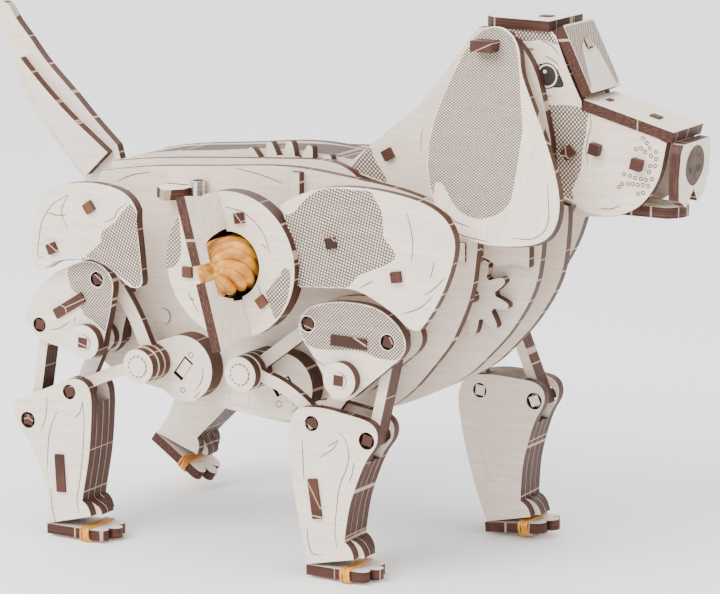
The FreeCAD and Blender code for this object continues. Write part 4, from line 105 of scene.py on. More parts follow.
EYE = {"white":[[108.26,188.66],[108.5,189.15],[108.98,189.66],[109.6,190.16],[110.26,190.63],[110.96,191.05],[111.74,191.45],[112.58,191.81],[113.47,192.12],[114.43,192.42],[115.45,192.7],[116.49,192.9],[117.48,192.94],[118.46,192.82],[119.42,192.56],[120.33,192.2],[121.12,191.74],[121.76,191.17],[122.29,190.5],[122.75,189.76],[123.17,188.97],[123.67,188.07],[124.2,187.07],[124.53,186.13],[124.43,185.43],[123.72,185.05],[122.58,184.89],[121.26,184.83],[120.02,184.75],[118.9,184.62],[117.76,184.5],[116.65,184.42],[115.6,184.43],[114.61,184.54],[113.65,184.73],[112.76,184.98],[111.95,185.27],[111.23,185.62],[110.58,186.04],[110.0,186.48],[109.5,186.92],[109.03,187.35],[108.6,187.77],[108.32,188.21]],"black":[[121.92,191.79],[123.16,189.34],[124.63,185.44],[120.83,184.81],[118.82,184.48],[121.6,186.68],[122.76,189.31]]}
EYE_C = [118.07,188.69]
WHISKERS = [[156.42,168.98],[158.02,167.3],[159.23,165.59],[161.61,164.34],[161.66,161.81],[153.76,164.79],[155.72,165.31],[157.31,163.99],[159.69,162.74],[159.38,159.09],[161.33,159.26],[159.03,156.89],[149.23,155.34],[151.61,154.82],[153.59,154.26],[155.95,154.09],[157.92,153.9],[160.26,154.46],[147.35,150.45],[148.52,151.64],[150.88,151.85],[152.85,152.01],[154.82,151.82],[156.78,151.99],[158.75,151.79],[154.89,148.55],[156.85,149.09]]
RINGS = [["rear_crank",-39.1,-17.91,75.39,1.0],["rear_crank",-39.1,-21.62,61.3,1.0],["front_crank",-39.1,20.92,60.83,1.2]]
LINK = {"fr":{"O":[22.6,67.8],"P":[11.65,73.62],"B":[56.6,77.4],"A":[42.49,58.61]},"rr":{"O":[-21.4,69.8],"P":[-33.68,71.53],"B":[-55.4,79.4],"A":[-65.22,58.05]},"fl":{"O":[22.6,67.8],"P":[33.55,61.98],"B":[56.6,77.4],"A":[67.41,56.54]},"rl":{"O":[-21.4,69.8],"P":[-9.12,68.07],"B":[-55.4,79.4],"A":[-42.41,59.82]}}
TURN = {"fr":{"rocker":0.0,"lever":0.0,"shank":0.0,"shin":0.0,"upper":0.0,"lower":0.0},"fl":{"rocker":-6.0066,"lever":64.2965,"shank":5.5698,"shin":35.5882,"upper":37.8023,"lower":16.8297},"rr":{"rocker":0.0,"lever":0.0,"shank":0.0,"shin":0.0,"upper":0.0,"lower":0.0},"rl":{"rocker":-45.8779,"lever":58.2571,"shank":-34.3384,"shin":13.2844,"upper":16.4355,"lower":-9.1997}}
CAM = [29.204306768039512,11.513224232355517,1310.829668898429,0.17276238723777418,33.8,96.28608153736411]
LEGNAME = {"fr": "front_right", "fl": "front_left", "rr": "rear_right", "rl": "rear_left"}


def M(x, y, z):
    return Vector(((x + X0) / 1000.0, (y + YS) / 1000.0, (z + Z0) / 1000.0))


# ------------------------------------------------------------------ materials
def new_mat(name):
    m = bpy.data.materials.new(name)
    m.use_nodes = True
    nt = m.node_tree
    nt.nodes.clear()
    out = nt.nodes.new("ShaderNodeOutputMaterial")
    bs = nt.nodes.new("ShaderNodeBsdfPrincipled")
    nt.links.new(bs.outputs[0], out.inputs[0])
    return m, nt, bs


class G:
    """small helper for building node graphs"""

    def __init__(self, nt):
        self.nt = nt

    def n(self, kind, **kw):
        o = self.nt.nodes.new(kind)
        for k, v in kw.items():
            setattr(o, k, v)
        return o

    def put(self, sock, val):
        if hasattr(val, "links") or hasattr(val, "is_output"):
            self.nt.links.new(val, sock)
        else:
            sock.default_value = val

    def math(self, op, a, b=0.0, c=0.0, clamp=False):
        o = self.n("ShaderNodeMath", operation=op, use_clamp=clamp)
        self.put(o.inputs[0], a)
        self.put(o.inputs[1], b)
        self.put(o.inputs[2], c)
        return o.outputs[0]

    def vmath(self, op, a, b=(0, 0, 0)):
        o = self.n("ShaderNodeVectorMath", operation=op)
        self.put(o.inputs[0], a)
        self.put(o.inputs[1], b)
        return o

    def mix(self, f, a, b, blend="MIX"):
        o = self.n("ShaderNodeMix", data_type="RGBA", blend_type=blend)
        self.put(o.inputs["Factor"], f)
        self.put(o.inputs[6], a)
        self.put(o.inputs[7], b)
        return o.outputs[2]

    def noise(self, vec, scale, detail=4.0, rough=0.55, dist=0.0):
        o = self.n("ShaderNodeTexNoise")
        self.put(o.inputs["Vector"], vec)
        o.inputs["Scale"].default_value = scale
        o.inputs["Detail"].default_value = detail
        o.inputs["Roughness"].default_value = rough
        o.inputs["Distortion"].default_value = dist
        return o.outputs["Fac"]

    def ramp(self, f, stops):
        o = self.n("ShaderNodeValToRGB")
        self.put(o.inputs[0], f)
        els = o.color_ramp.elements
        while len(els) < len(stops):
            els.new(0.5)
        for e, (p, c) in zip(els, stops):
            e.position = p
            e.color = (c[0], c[1], c[2], 1)
        return o.outputs[0]

    def mapped(self, vec, scale):
        return self.vmath("MULTIPLY", vec, scale).outputs[0]


CREAM_LO = (0.700, 0.555, 0.430)
CREAM_HI = (0.900, 0.800, 0.700)
BURN_DK = (0.016, 0.0050, 0.0028)
BURN_MD = (0.062, 0.019, 0.010)
BURN_LT = (0.27, 0.115, 0.060)
INK = (0.020, 0.0075, 0.0045)


def face_colour(g, pos, grain=(5.0, 60.0, 60.0)):
    """pale birch face: long soft grain, short ray flecks, faint clouds"""
    v = g.mapped(pos, grain)
    a = g.noise(v, 14.0, 6.0, 0.6, 0.6)
    col = g.ramp(a, [(0.25, CREAM_LO), (0.52, [0.5 * (p + q) for p, q in zip(CREAM_LO, CREAM_HI)]), (0.72, CREAM_HI)])
    fl = g.noise(g.mapped(pos, (grain[0] * 2.2, grain[1] * 9.0, grain[2] * 9.0)), 22.0, 3.0, 0.7)
    flm = g.math("MULTIPLY", g.math("GREATER_THAN", fl, 0.66), 0.16)
    col = g.mix(flm, col, (0.50, 0.34, 0.22, 1))
    cl = g.noise(pos, 26.0, 3.0, 0.5)
    col = g.mix(g.math("MULTIPLY", cl, 0.26), col, (0.90, 0.82, 0.73, 1))
    return col, a, fl


def edge_colour(g, pos, axis):
    """laser-burnt edge: dark glue lines between plies, streaks and pale break ticks"""
    k = Vector((1, 1, 1)) * 26.0 + Vector(axis) * 2100.0
    v = g.mapped(pos, tuple(k))
    a = g.noise(v, 1.0, 3.0, 0.6, 0.2)
    col = g.ramp(a, [(0.30, BURN_DK), (0.47, BURN_MD), (0.60, (0.110, 0.036, 0.019)), (0.78, BURN_LT)])
    b = g.noise(pos, 190.0, 4.0, 0.6)
    col = g.mix(g.math("MULTIPLY", b, 0.55), col, (*BURN_DK, 1))
    tick = g.n("ShaderNodeTexVoronoi", feature="DISTANCE_TO_EDGE")
    w = Vector((1, 1, 1)) * 48.0 - Vector([abs(c) for c in axis]) * 47.6
    g.put(tick.inputs["Vector"], g.mapped(pos, tuple(w)))
    tick.inputs["Scale"].default_value = 1.0
    t = g.math("LESS_THAN", tick.outputs["Distance"], 0.008)
    col = g.mix(g.math("MULTIPLY", t, 0.75), col, (0.62, 0.46, 0.33, 1))
    return col, a


def ply_material(name, axis=(0, 1, 0), pitch=None, angles=(50, -50), proud=None, all_edge=False, grain=(5.0, 60.0, 60.0), hatch_dirs=None):
    """axis: the sheet's normal.  Faces square to it are birch, the rest is burnt edge."""
    m, nt, bs = new_mat(name)
    g = G(nt)
    tc = g.n("ShaderNodeTexCoord")
    pos = tc.outputs["Object"]
    fcol, fa, ff = face_colour(g, pos, grain)
    if pitch:
        sep = g.n("ShaderNodeSeparateXYZ")
        nt.links.new(pos, sep.inputs[0])
        wob = g.noise(pos, 24.0, 2.0, 0.5)
        masks = []
        for i, ang in enumerate(angles):
            a = math.radians(ang)
            ux, uz = hatch_dirs or ((1, 0, 0), (0, 0, 1))
            dv = Vector(ux) * math.cos(a) + Vector(uz) * math.sin(a)
            u = g.vmath("DOT_PRODUCT", pos, tuple(dv)).outputs["Value"]
            ph = g.math("MULTIPLY", u, 2 * math.pi * 1000.0 / pitch)
            ph = g.math("ADD", ph, g.math("MULTIPLY", wob, 5.0 if i else -4.0))
            masks.append(g.math("GREATER_THAN", g.math("SINE", ph), 0.30))
        hatch = g.math("MAXIMUM", masks[0], masks[1])
        hv = g.noise(pos, 260.0, 2.0, 0.5)
        ink = g.ramp(hv, [(0.35, INK), (0.65, (0.060, 0.024, 0.014))])
        fcol = g.mix(g.math("MULTIPLY", hatch, 0.93), fcol, ink)
    ecol, ea = edge_colour(g, pos, axis)
    if all_edge:
        col = ecol
        msk = 1.0
    else:
        dt = g.vmath("DOT_PRODUCT", tc.outputs["Normal"], tuple(axis)).outputs["Value"]
        msk = g.math("LESS_THAN", g.math("ABSOLUTE", dt), 0.80)
        if proud is not None:
            sep2 = g.n("ShaderNodeSeparateXYZ")
            nt.links.new(pos, sep2.inputs[0])
            dy = g.math("ABSOLUTE", g.math("SUBTRACT", sep2.outputs[1], YS / 1000.0))
            msk = g.math("MAXIMUM", msk, g.math("GREATER_THAN", dy, proud / 1000.0))
        col = g.mix(msk, fcol, ecol)
    nt.links.new(col, bs.inputs["Base Color"])
    rg = g.math("ADD", g.math("MULTIPLY", fa, 0.22), 0.42)
    nt.links.new(rg, bs.inputs["Roughness"])
    bs.inputs["Specular IOR Level"].default_value = 0.32
    bump = g.n("ShaderNodeBump")
    bump.inputs["Strength"].default_value = 0.22
    bump.inputs["Distance"].default_value = 0.0004
    hgt = g.math("ADD", fa, g.math("MULTIPLY", ff, 0.5))
    if pitch:
        hgt = g.math("SUBTRACT", hgt, g.math("MULTIPLY", hatch, 0.8))
    hgt2 = g.math("ADD", hgt, g.math("MULTIPLY", ea, 0.6))
    nt.links.new(hgt2, bump.inputs["Height"])
    nt.links.new(bump.outputs[0], bs.inputs["Normal"])
    return m


def ink_material(name, base=INK, hi=(0.16, 0.075, 0.045)):
    m, nt, bs = new_mat(name)
    g = G(nt)
    tc = g.n("ShaderNodeTexCoord")
    a = g.noise(tc.outputs["Object"], 420.0, 3.0, 0.6)
    nt.links.new(g.ramp(a, [(0.3, base), (0.75, hi)]), bs.inputs["Base Color"])
    nt.links.new(g.math("ADD", g.math("MULTIPLY", a, 0.3), 0.5), bs.inputs["Roughness"])
    return m


def rubber_material(name, rough=0.30):
    m, nt, bs = new_mat(name)
    g = G(nt)
    tc = g.n("ShaderNodeTexCoord")
    pos = tc.outputs["Object"]
    a = g.noise(g.mapped(pos, (60, 14, 60)), 3.0, 5.0, 0.6, 0.5)
    # base colour ramp: partly the rubber's own uneven amber, partly painted highlight at the bright end and painted
    # shade at the dark end, scattered in streaks along Y by stretched noise
    col = g.ramp(a, [(0.25, (0.30, 0.085, 0.006)), (0.5, (0.68, 0.27, 0.022)), (0.75, (0.93, 0.52, 0.10))])
    nt.links.new(col, bs.inputs["Base Color"])
    bs.inputs["Subsurface Weight"].default_value = 0.18
    bs.inputs["Subsurface Radius"].default_value = (0.003, 0.0015, 0.0005)
    nt.links.new(g.math("ADD", g.math("MULTIPLY", a, 0.18), rough), bs.inputs["Roughness"])
    bp = g.n("ShaderNodeBump")
    bp.inputs["Strength"].default_value = 0.25
    bp.inputs["Distance"].default_value = 0.0003
    nt.links.new(g.noise(pos, 900.0, 2.0, 0.5), bp.inputs["Height"])
    nt.links.new(bp.outputs[0], bs.inputs["Normal"])
    return m


def steel_material():
    m, nt, bs = new_mat("plated_steel")
    g = G(nt)
    tc = g.n("ShaderNodeTexCoord")
    a = g.noise(g.mapped(tc.outputs["Object"], (30, 30, 900)), 4.0, 3.0, 0.6)
    nt.links.new(g.ramp(a, [(0.3, (0.42, 0.43, 0.45)), (0.7, (0.74, 0.75, 0.77))]), bs.inputs["Base Color"])
    bs.inputs["Metallic"].default_value = 1.0
    nt.links.new(g.math("ADD", g.math("MULTIPLY", a, 0.2), 0.15), bs.inputs["Roughness"])
    return m


PLY = ply_material("ply_side", proud=None)
PLY_LEG = ply_material("ply_leg", proud=52.2)
PLY_PEG = ply_material("ply_peg", proud=49.0)
PLY_WHEEL = ply_material("ply_wheel", proud=60.3)
PLY_Z = ply_material("ply_flat", axis=(0, 0, 1), grain=(9.0, 60.0, 30.0))
KEYS = ply_material("ply_keys", all_edge=True)
ba = math.radians(15.3)
PLY_BLADE = ply_material("ply_blade", axis=(math.cos(ba), 0, math.sin(ba)), grain=(60.0, 40.0, 6.0))
PLY_SHIN = ply_material("ply_shin", axis=(1, 0, 0))
# engraving ink; it also colours the thick neck line, which is painted shade in the gap along the neck
INKM = ink_material("engraved_ink_and_painted_gap_shade")
PUPIL = ink_material("engraved_pupil", (0.010, 0.006, 0.005), (0.035, 0.022, 0.018))
RUBBER = rubber_material("amber_rubber")
STEEL = steel_material()
NOSE = ink_material("engraved_nose", (0.030, 0.014, 0.009), (0.17, 0.095, 0.060))
WHITE = ply_material("ply_eye_white", grain=(30.0, 60.0, 30.0))


def paint(node, mat):
    o = NODES[node]
    if not o.material_slots:
        o.data.materials.append(mat)
    for s in o.material_slots:
        s.material = mat


def axis_of(deg, x=0.0, z=1.0):
    a = math.radians(deg)
    return (x * math.cos(a) - z * math.sin(a), 0.0, x * math.sin(a) + z * math.cos(a))


for n in NODES:
    paint(n, PLY)
paint("lock_keys", KEYS)
paint("steel_clip", STEEL)
paint("skull_cap", PLY_Z)
paint("jaw", PLY_Z)
paint("release_slider", PLY_Z)
paint("brow_plate", ply_material("ply_brow", axis=axis_of(-63.7), grain=(30.0, 60.0, 6.0)))
paint("muzzle_bridge", ply_material("ply_muzzle", axis=axis_of(-14.7), grain=(6.0, 60.0, 40.0)))
paint("nose_plate", ply_material("ply_nose", axis=(0.998, 0, -0.07), grain=(60.0, 8.0, 60.0)))
for side in ("ears",):
    paint(side, ply_material("ply_ear", axis=(0, 1, 0), grain=(60.0, 60.0, 5.0)))
paint("winding_wheel", PLY_WHEEL)
paint("winding_blade", PLY_BLADE)
paint("rubber_skein", RUBBER)
for lg, nm in LEGNAME.items():
    paint("rocker_" + nm, PLY_LEG)
    paint("lower_leg_" + nm, PLY_LEG)
    for k in ("knee_lever_", "upper_rod_"):
        paint(k + nm, PLY_PEG)
    paint("shin_link_" + nm, PLY_PEG)
    paint("paw_sole_" + nm, ply_material("ply_sole_" + nm, axis=axis_of(TURN[lg]["shank"])))
    paint("paw_band_" + nm, RUBBER)


# ------------------------------------------------------------------ mesh helpers
def mesh_obj(name, verts, faces, mat, body, smooth=False):
    me = bpy.data.meshes.new(name)
    me.from_pydata([tuple(v) for v in verts], [], faces)
    me.materials.append(mat)
    me.update()
    if smooth:
        me.shade_smooth()
    o = bpy.data.objects.new(name, me)
    bpy.context.scene.collection.objects.link(o)
    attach(o, body)
    return o


def join_meshes(name, parts, mat, body, smooth=False):
    vs, fs = [], []
    for v, f in parts:
        k = len(vs)
        vs += v
        fs += [tuple(i + k for i in t) for t in f]
    return mesh_obj(name, vs, fs, mat, body, smooth)


def orient(verts, faces, want):
    """turn each face so that its normal agrees with `want`"""
    out = []
    for f in faces:
        a, b, c = (Vector(verts[i]) for i in f[:3])
        nn = (b - a).cross(c - a)
        out.append(tuple(f) if nn.dot(want) >= 0 else tuple(reversed(f)))
    return out


def ear_pt(p, side, lift):
    t = math.radians(14)
    y = -22.4 + p[1] * math.sin(t)
    z = 200.6 + p[1] * math.cos(t)
    ny, nz = -math.cos(t), math.sin(t)
    y += ny * lift
    z += nz * lift
    x = p[0] + 1.85
    return M(x, y if side < 0 else -y, z)


def leg_map(piece, target):
    """maps a point drawn on the near leg of the pair to the same ply on another leg"""
    for a in LEGNAME:
        if piece.endswith(LEGNAME[a]):
            src = a
    end = src[0]
    piv, key = ("B", "rocker") if piece.startswith("rocker") else ("A", "shank")
    s, d = LINK[src][piv], LINK[target][piv]
    r = math.radians(TURN[target][key])

    def f(p):
        x, z = p[0] - s[0], p[1] - s[1]
        return (d[0] + x * math.cos(r) - z * math.sin(r), d[1] + x * math.sin(r) + z * math.cos(r))
    return f


LIFT = 0.06


def loop_sheet(loops, put, want):
    """one flat sheet with holes, laid just over its ply"""
    vl = [[Vector((p[0], p[1], 0)) for p in lp] for lp in loops]
    tris = tessellate_polygon(vl)
    verts = [put(p) for lp in loops for p in lp]
    return verts, orient(verts, [tuple(t) for t in tris], want)


def ribbon(pts, w, put, want):
    n = len(pts)
    vs, fs = [], []
    for i, p in enumerate(pts):
        a = pts[max(i - 1, 0)]
        b = pts[min(i + 1, n - 1)]
        dx, dz = b[0] - a[0], b[1] - a[1]
        d = math.hypot(dx, dz) or 1.0
        t = i / (n - 1.0)
        ww = w * (0.35 + 0.65 * math.sin(math.pi * min(max(t, 0.06), 0.94)) ** 0.5)
        nx, nz = -dz / d * ww / 2, dx / d * ww / 2
        vs += [put((p[0] + nx, p[1] + nz)), put((p[0] - nx, p[1] - nz))]
    for i in range(n - 1):
        fs.append((2 * i, 2 * i + 1, 2 * i + 3, 2 * i + 2))
    return vs, orient(vs, fs, want)


def ring2(c, r, w, n=20):
    return [[c[0] + (r + s) * math.cos(2 * math.pi * i / n), c[1] + (r + s) * math.sin(2 * math.pi * i / n)] for s in (w / 2, -w / 2) for i in range(n)]


def ring_mesh(c, r, w, put, want, n=20):
    p = ring2(c, r, w, n)
    vs = [put(q) for q in p]
    fs = [(i, (i + 1) % n, n + (i + 1) % n, n + i) for i in range(n)]
    return vs, orient(vs, fs, want)


def disc(c, rx, rz, n=32, rot=0.0):
    a0 = math.radians(rot)
    out = []
    for i in range(n):
        a = 2 * math.pi * i / n
        x, z = rx * math.cos(a), rz * math.sin(a)
        out.append([c[0] + x * math.cos(a0) - z * math.sin(a0), c[1] + x * math.sin(a0) + z * math.cos(a0)])
    return out


# every engraved item, and the thick neck line of painted gap shade, goes on the side that the builder sees and on its
# mirror
def targets(frame_name, y):
    """yields (body, put, want)"""
    out = []
    if frame_name == "ear":
        for s in (-1, 1):
            out.append(("trunk", (lambda p, s=s: ear_pt(p, s, LIFT)), Vector((0, s, 0))))
    elif frame_name == "world":
        for s in (-1, 1):
            out.append(("trunk", (lambda p, s=s: M(p[0], s * (abs(y) + LIFT), p[1])), Vector((0, s, 0))))
    elif frame_name == "winder":
        out.append(("winder", (lambda p: M(p[0], y - LIFT, p[1])), Vector((0, -1, 0))))
    elif frame_name in ("front_crank", "rear_crank"):
        out.append((frame_name, (lambda p: M(p[0], y - LIFT, p[1])), Vector((0, -1, 0))))
    else:
        src = [a for a in LEGNAME if frame_name.endswith(LEGNAME[a])][0]
        for t in (src, src[0] + "l"):
            s = -1 if t[1] == "r" else 1
            f = leg_map(frame_name, t)
            nm = LEGNAME[t]
            body = ("rocker_%s_body" if frame_name.startswith("rocker") else "shank_%s") % nm
            out.append((body, (lambda p, f=f, s=s: M(f(p)[0], s * (abs(y) + LIFT), f(p)[1])), Vector((0, s, 0))))
    return out


k = 0
for name, fr, y, poly, holes, pitch, ang in PATCHES:
    mat = ply_material("hatched_%s_%d" % (name, k), pitch=pitch, angles=ang)
    for body, put, want in targets(fr, y):
        loops = [poly] + [disc(h[:2], h[2], h[2], 24) for h in holes]
        v, f = loop_sheet(loops, put, want)
        mesh_obj("hatch_%s_%d" % (name, k), v, f, mat, body)
        k += 1
groups = {}
for name, fr, y, pts, w in LINES:
    for body, put, want in targets(fr, y):
        groups.setdefault((name, body, want.y), []).append(ribbon(pts, w, put, want))
for fr, y, cx, cz, r in RINGS:
    for body, put, want in targets(fr, y):
        groups.setdefault(("ring", body, want.y), []).append(ring_mesh((cx, cz), r, 0.3, put, want))
# ink meshes grouped per piece and side; the neck group is painted gap shade, the rest is engraving
for (name, body, wy), parts in groups.items():
    join_meshes("engraving_%s_%s_%s" % (name, body, "r" if wy < 0 else "l"), parts, INKM, body)

# ------------------------------------------------------------------ face
for s in (-1, 1):
    want = Vector((0, s, 0))

    def lay(h):
        return lambda p: M(p[0], s * (12.5 + h), p[1])
    tag = "r" if s < 0 else "l"
    v, f = loop_sheet([EYE["white"]], lay(0.05), want)
    mesh_obj("eye_white_" + tag, v, f, WHITE, "trunk")
    parts = [ribbon(EYE["white"] + EYE["white"][:2], 0.42, lay(0.09), want)]
    parts.append(loop_sheet([EYE["black"]], lay(0.09), want))
    parts.append(loop_sheet([disc(EYE_C, 4.55, 4.75)], lay(0.12), want))
    join_meshes("eye_rim_" + tag, parts, PUPIL, "trunk")
    v, f = loop_sheet([disc(EYE_C, 4.1, 4.3)], lay(0.16), want)
    mesh_obj("eye_ring_" + tag, v, f, WHITE, "trunk")
    v, f = loop_sheet([disc(EYE_C, 3.45, 3.65)], lay(0.20), want)
    mesh_obj("eye_iris_" + tag, v, f, PUPIL, "trunk")
    v, f = loop_sheet([disc((EYE_C[0] - 0.9, EYE_C[1] + 1.5), 0.75, 0.65)], lay(0.24), want)
    mesh_obj("eye_glint_" + tag, v, f, WHITE, "trunk")
    join_meshes("whisker_dots_" + tag, [ring_mesh(c, 0.62, 0.34, lay(0.06), want, 12) for c in WHISKERS], INKM, "trunk")


def slab_frame(x0, z0, x1, z1, th):
    d = Vector((x1 - x0, 0, z1 - z0)).normalized()
    n = Vector((-d.z, 0, d.x))

    def put(p, h=LIFT):
        return M(x0 + d.x * p[0] + n.x * (th + h), p[1], z0 + d.z * p[0] + n.z * (th + h))
    return put, n


def stud(name, put, s, y, w, l, h, body="trunk"):
    """the end of a tab standing just proud of its slot"""
    vs, fs = [], []
    for hh in (-0.3, h):
        for a, b in ((-1, -1), (1, -1), (1, 1), (-1, 1)):
            vs.append(put((s + a * l / 2, y + b * w / 2), hh))
    fs = [(3, 2, 1, 0), (4, 5, 6, 7), (0, 1, 5, 4), (1, 2, 6, 5), (2, 3, 7, 6), (3, 0, 4, 7)]
    o = mesh_obj(name, vs, fs, KEYS, body)
    bv = o.modifiers.new("soft", "BEVEL")
    bv.width = 0.00018
    bv.segments = 2
    return o


put, nrm = slab_frame(120.6, 205.6, 132.3, 181.9, 4.0)
poly = [(0.7, -12.0), (0.7, 12.0), (8, 12.1), (24.5, 12.1), (25.6, 9.5), (19, 8.2), (12, 6.5), (7.2, 3.0), (6.4, -1.5), (9.5, -5.2), (17, -8.0), (23.5, -10.4), (24.8, -12.1), (10, -12.1)]
v, f = loop_sheet([poly], put, nrm)
mesh_obj("hatch_brow", v, f, ply_material("hatched_brow", axis=tuple(nrm), pitch=1.0, angles=(48, -52), hatch_dirs=((0, 1, 0), (nrm.z, 0, -nrm.x))), "trunk")
stud("brow_tab", put, 8.6, 0.0, 4.0, 4.0, 1.0)
put, nrm = slab_frame(132.2, 177.3, 167.6, 168.0, 4.0)
stud("muzzle_tab_a", put, 5.0, -1.5, 4.0, 2.2, 0.35)
stud("muzzle_tab_b", put, 24.0, -1.5, 4.0, 4.0, 0.7)


def cap_put(p, h=LIFT):
    return M(p[0], p[1], 208.65 + h)


stud("cap_tab", cap_put, 112.0, -1.0, 4.0, 4.6, 0.5)
a4 = math.radians(4.0)


def nose_put(p, h=LIFT):
    zz = p[1] - 170.2
    return M(167.9 + (4.0 + h) * math.cos(a4) + zz * math.sin(a4), p[0], 167.8 - (4.0 + h) * math.sin(a4) + zz * math.cos(a4))


NX = Vector((1, 0, -0.07))
ov = [(1.0 * x, z) for x, z in disc((0.2, 161.2), 7.9, 7.2, 40)]
ov = [(x * (1.0 if z > 158.5 else 1.0 - 0.05 * (158.5 - z)), z) for x, z in ov]
v, f = loop_sheet([ov], lambda p: nose_put(p, 0.05), NX)
mesh_obj("nose_engraving", v, f, NOSE, "trunk")
parts = [ribbon(ov + ov[:2], 0.4, lambda p: nose_put(p, 0.08), NX)]
for sx in (-1, 1):
    c = (sx * 3.6, 159.8)
    parts.append(loop_sheet([disc(c, 1.9, 1.2, 20, 24 * sx)], lambda p: nose_put(p, 0.1), NX))
    parts.append(ribbon([(sx * 3.0, 165.2), (sx * 5.2, 163.4), (sx * 6.6, 160.5)], 0.35, lambda p: nose_put(p, 0.1), NX))
parts.append(ribbon([(0.1, 160.5), (0.0, 157.5), (0.3, 153.6)], 0.5, lambda p: nose_put(p, 0.1), NX))
join_meshes("nose_lines", parts, PUPIL, "trunk")


def jaw_put(p, h=LIFT):
    return M(p[0], p[1], 143.6 + h)


join_meshes("tongue_line", [ribbon([(145, 0), (152, 0.2), (160, 0), (165.5, -0.2)], 0.35, jaw_put, Vector((0, 0, 1)))], INKM, "trunk")

# dark square ends of the pivot pegs and the dowels' end grain
for lg, nm in LEGNAME.items():
    s = -1 if lg[1] == "r" else 1
    B = LINK[lg]["B"]
    a = math.radians(42)
    pts = [(B[0] + 2.75 * math.cos(a + math.pi / 2 * i), B[1] + 2.75 * math.sin(a + math.pi / 2 * i)) for i in range(4)]
    vs = [M(p[0], s * yy, p[1]) for yy in (56.6, 57.15) for p in pts]
    fs = [(0, 1, 2, 3), (4, 5, 6, 7), (0, 1, 5, 4), (1, 2, 6, 5), (2, 3, 7, 6), (3, 0, 4, 7)]
    o = mesh_obj("pivot_peg_end_" + nm, vs, fs, KEYS, "trunk")
    P = LINK[lg]["P"]
    parts = []
    for i in range(14):
        t0 = 2 * math.pi * (i + 0.1) / 14
        t1 = t0 + 2 * math.pi * 0.55 / 14
        arc = [(P[0] + 3.9 * math.cos(t0 + (t1 - t0) * j / 3), P[1] + 3.9 * math.sin(t0 + (t1 - t0) * j / 3)) for j in range(4)]
        parts.append(ribbon(arc, 0.45, lambda p: M(p[0], s * 52.36, p[1]), Vector((0, s, 0))))
    join_meshes("dowel_dashes_" + nm, parts, PUPIL, ("front_crank" if lg[0] == "f" else "rear_crank"))


# ------------------------------------------------------------------ rubber
def tube(points, radius, n=10, squash=1.0, closed=False):
    """swept tube through points; radius may be a list"""
    N = len(points)
    vs, fs = [], []
    up = Vector((0.123, 0.31, 0.94)).normalized()
    prev = None
    for i, p in enumerate(points):
        a = points[i - 1] if (closed or i > 0) else points[i]
        b = points[(i + 1) % N] if (closed or i < N - 1) else points[i]
        t = (b - a).normalized()
        x = (prev if prev is not None else up)
        x = (x - t * x.dot(t)).normalized()
        prev = x
        y = t.cross(x)
        r = radius[i] if isinstance(radius, (list, tuple)) else radius
        for j in range(n):
            q = 2 * math.pi * j / n
            vs.append(p + x * (r * math.cos(q)) + y * (r * math.sin(q) * squash))
    M_ = N if closed else N - 1
    for i in range(M_):
        for j in range(n):
            a, b = i * n + j, i * n + (j + 1) % n
            c, d = ((i + 1) % N) * n + (j + 1) % n, ((i + 1) % N) * n + j
            fs.append((a, b, c, d))
    if not closed:
        fs.append(tuple(range(n))[::-1])
        fs.append(tuple(range((N - 1) * n, N * n)))
    return vs, fs


WHC = (-8.3647 - X0, 117.4965 - Z0)
parts = []
NS = 11
for ring, (rad, sr, cnt, ph0) in enumerate(((8.5, 2.45, NS, 0.0), (4.7, 2.5, 6, 0.4))):
    for i in range(cnt):
        pts, rr = [], []
        jit = random.uniform(-0.10, 0.10)
        for j in range(64):
            u = j / 63.0
            y = 19.0 - u * 92.5
            w = max(0.0, (-64.0 - y) / 9.5)
            r = rad * (1 - 0.62 * min(w, 1.0) ** 2) + 0.22 * math.sin(u * 21 + i * 2.1)
            if y > 12:
                r *= 1 - 0.35 * ((y - 12) / 7.0) ** 2
            th = ph0 + 2 * math.pi * i / cnt + jit + u * 7.6
            pts.append(M(WHC[0] + r * math.cos(th), y, WHC[1] + r * math.sin(th)))
            rr.append((sr * (1 - 0.25 * min(w, 1.0)) + 0.1 * math.sin(u * 15 + i)) / 1000.0)
        parts.append(tube(pts, rr, 12))
sk = join_meshes("skein_strands", parts, RUBBER, "winder", True)
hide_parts("rubber_skein")

for lg, nm in LEGNAME.items():
    src = {"f": "fr", "r": "rr"}[lg[0]]
    f = leg_map("lower_leg_" + LEGNAME[src], lg)
    s = -1 if lg[1] == "r" else 1
    toe = 62.0 if lg[0] == "f" else -53.6
    bot = {"fr": 4.55, "rr": 4.55, "fl": 6.4, "rl": 4.55}[lg] - 0.1
    ya, yb = (-52.3, -35.0) if s < 0 else (35.0, 52.3)
    zb = bot - 4.0
    parts = []
    for q in range(4):
        bx = toe - 7.0 + 0.72 + q * 1.05
        lean = (0.5 if q % 2 else -0.35)
        loop = []
        top, btm, o = bot + 0.0, zb - 0.62, 0.62
        path = [(ya - o, btm + 0.9), (ya - o, top - 0.3), (ya + 0.3, top + 0.35), (ya + 3, top + 0.25), (yb - 3, top + 0.25), (yb - 0.3, top + 0.35), (yb + o, top - 0.3), (yb + o, btm + 0.9), (yb - 0.6, btm), (0.5 * (ya + yb), btm), (ya + 0.6, btm)]
        n = len(path)
        for i in range(n):
            p0, p1, p2, p3 = path[i - 1], path[i], path[(i + 1) % n], path[(i + 2) % n]
            for t in (0.0, 0.33, 0.66):
                def cr(a, b, c, d):
                    return .5 * ((2 * b) + (c - a) * t + (2 * a - 5 * b + 4 * c - d) * t * t * .6 + (3 * b - a - 3 * c + d) * t ** 3 * .6)
                yy, zz = p1[0] + (p2[0] - p1[0]) * t, p1[1] + (p2[1] - p1[1]) * t
                xx = bx + lean * math.sin((zz - zb) * 0.6 + q) * 0.5
                w = f((xx, zz))
                loop.append(M(w[0], yy, w[1]))
        parts.append(tube(loop, 0.00056, 8, 1.0, True))
    o = join_meshes("grip_band_" + nm, parts, RUBBER, "shank_" + nm, True)
    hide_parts("paw_band_" + nm)

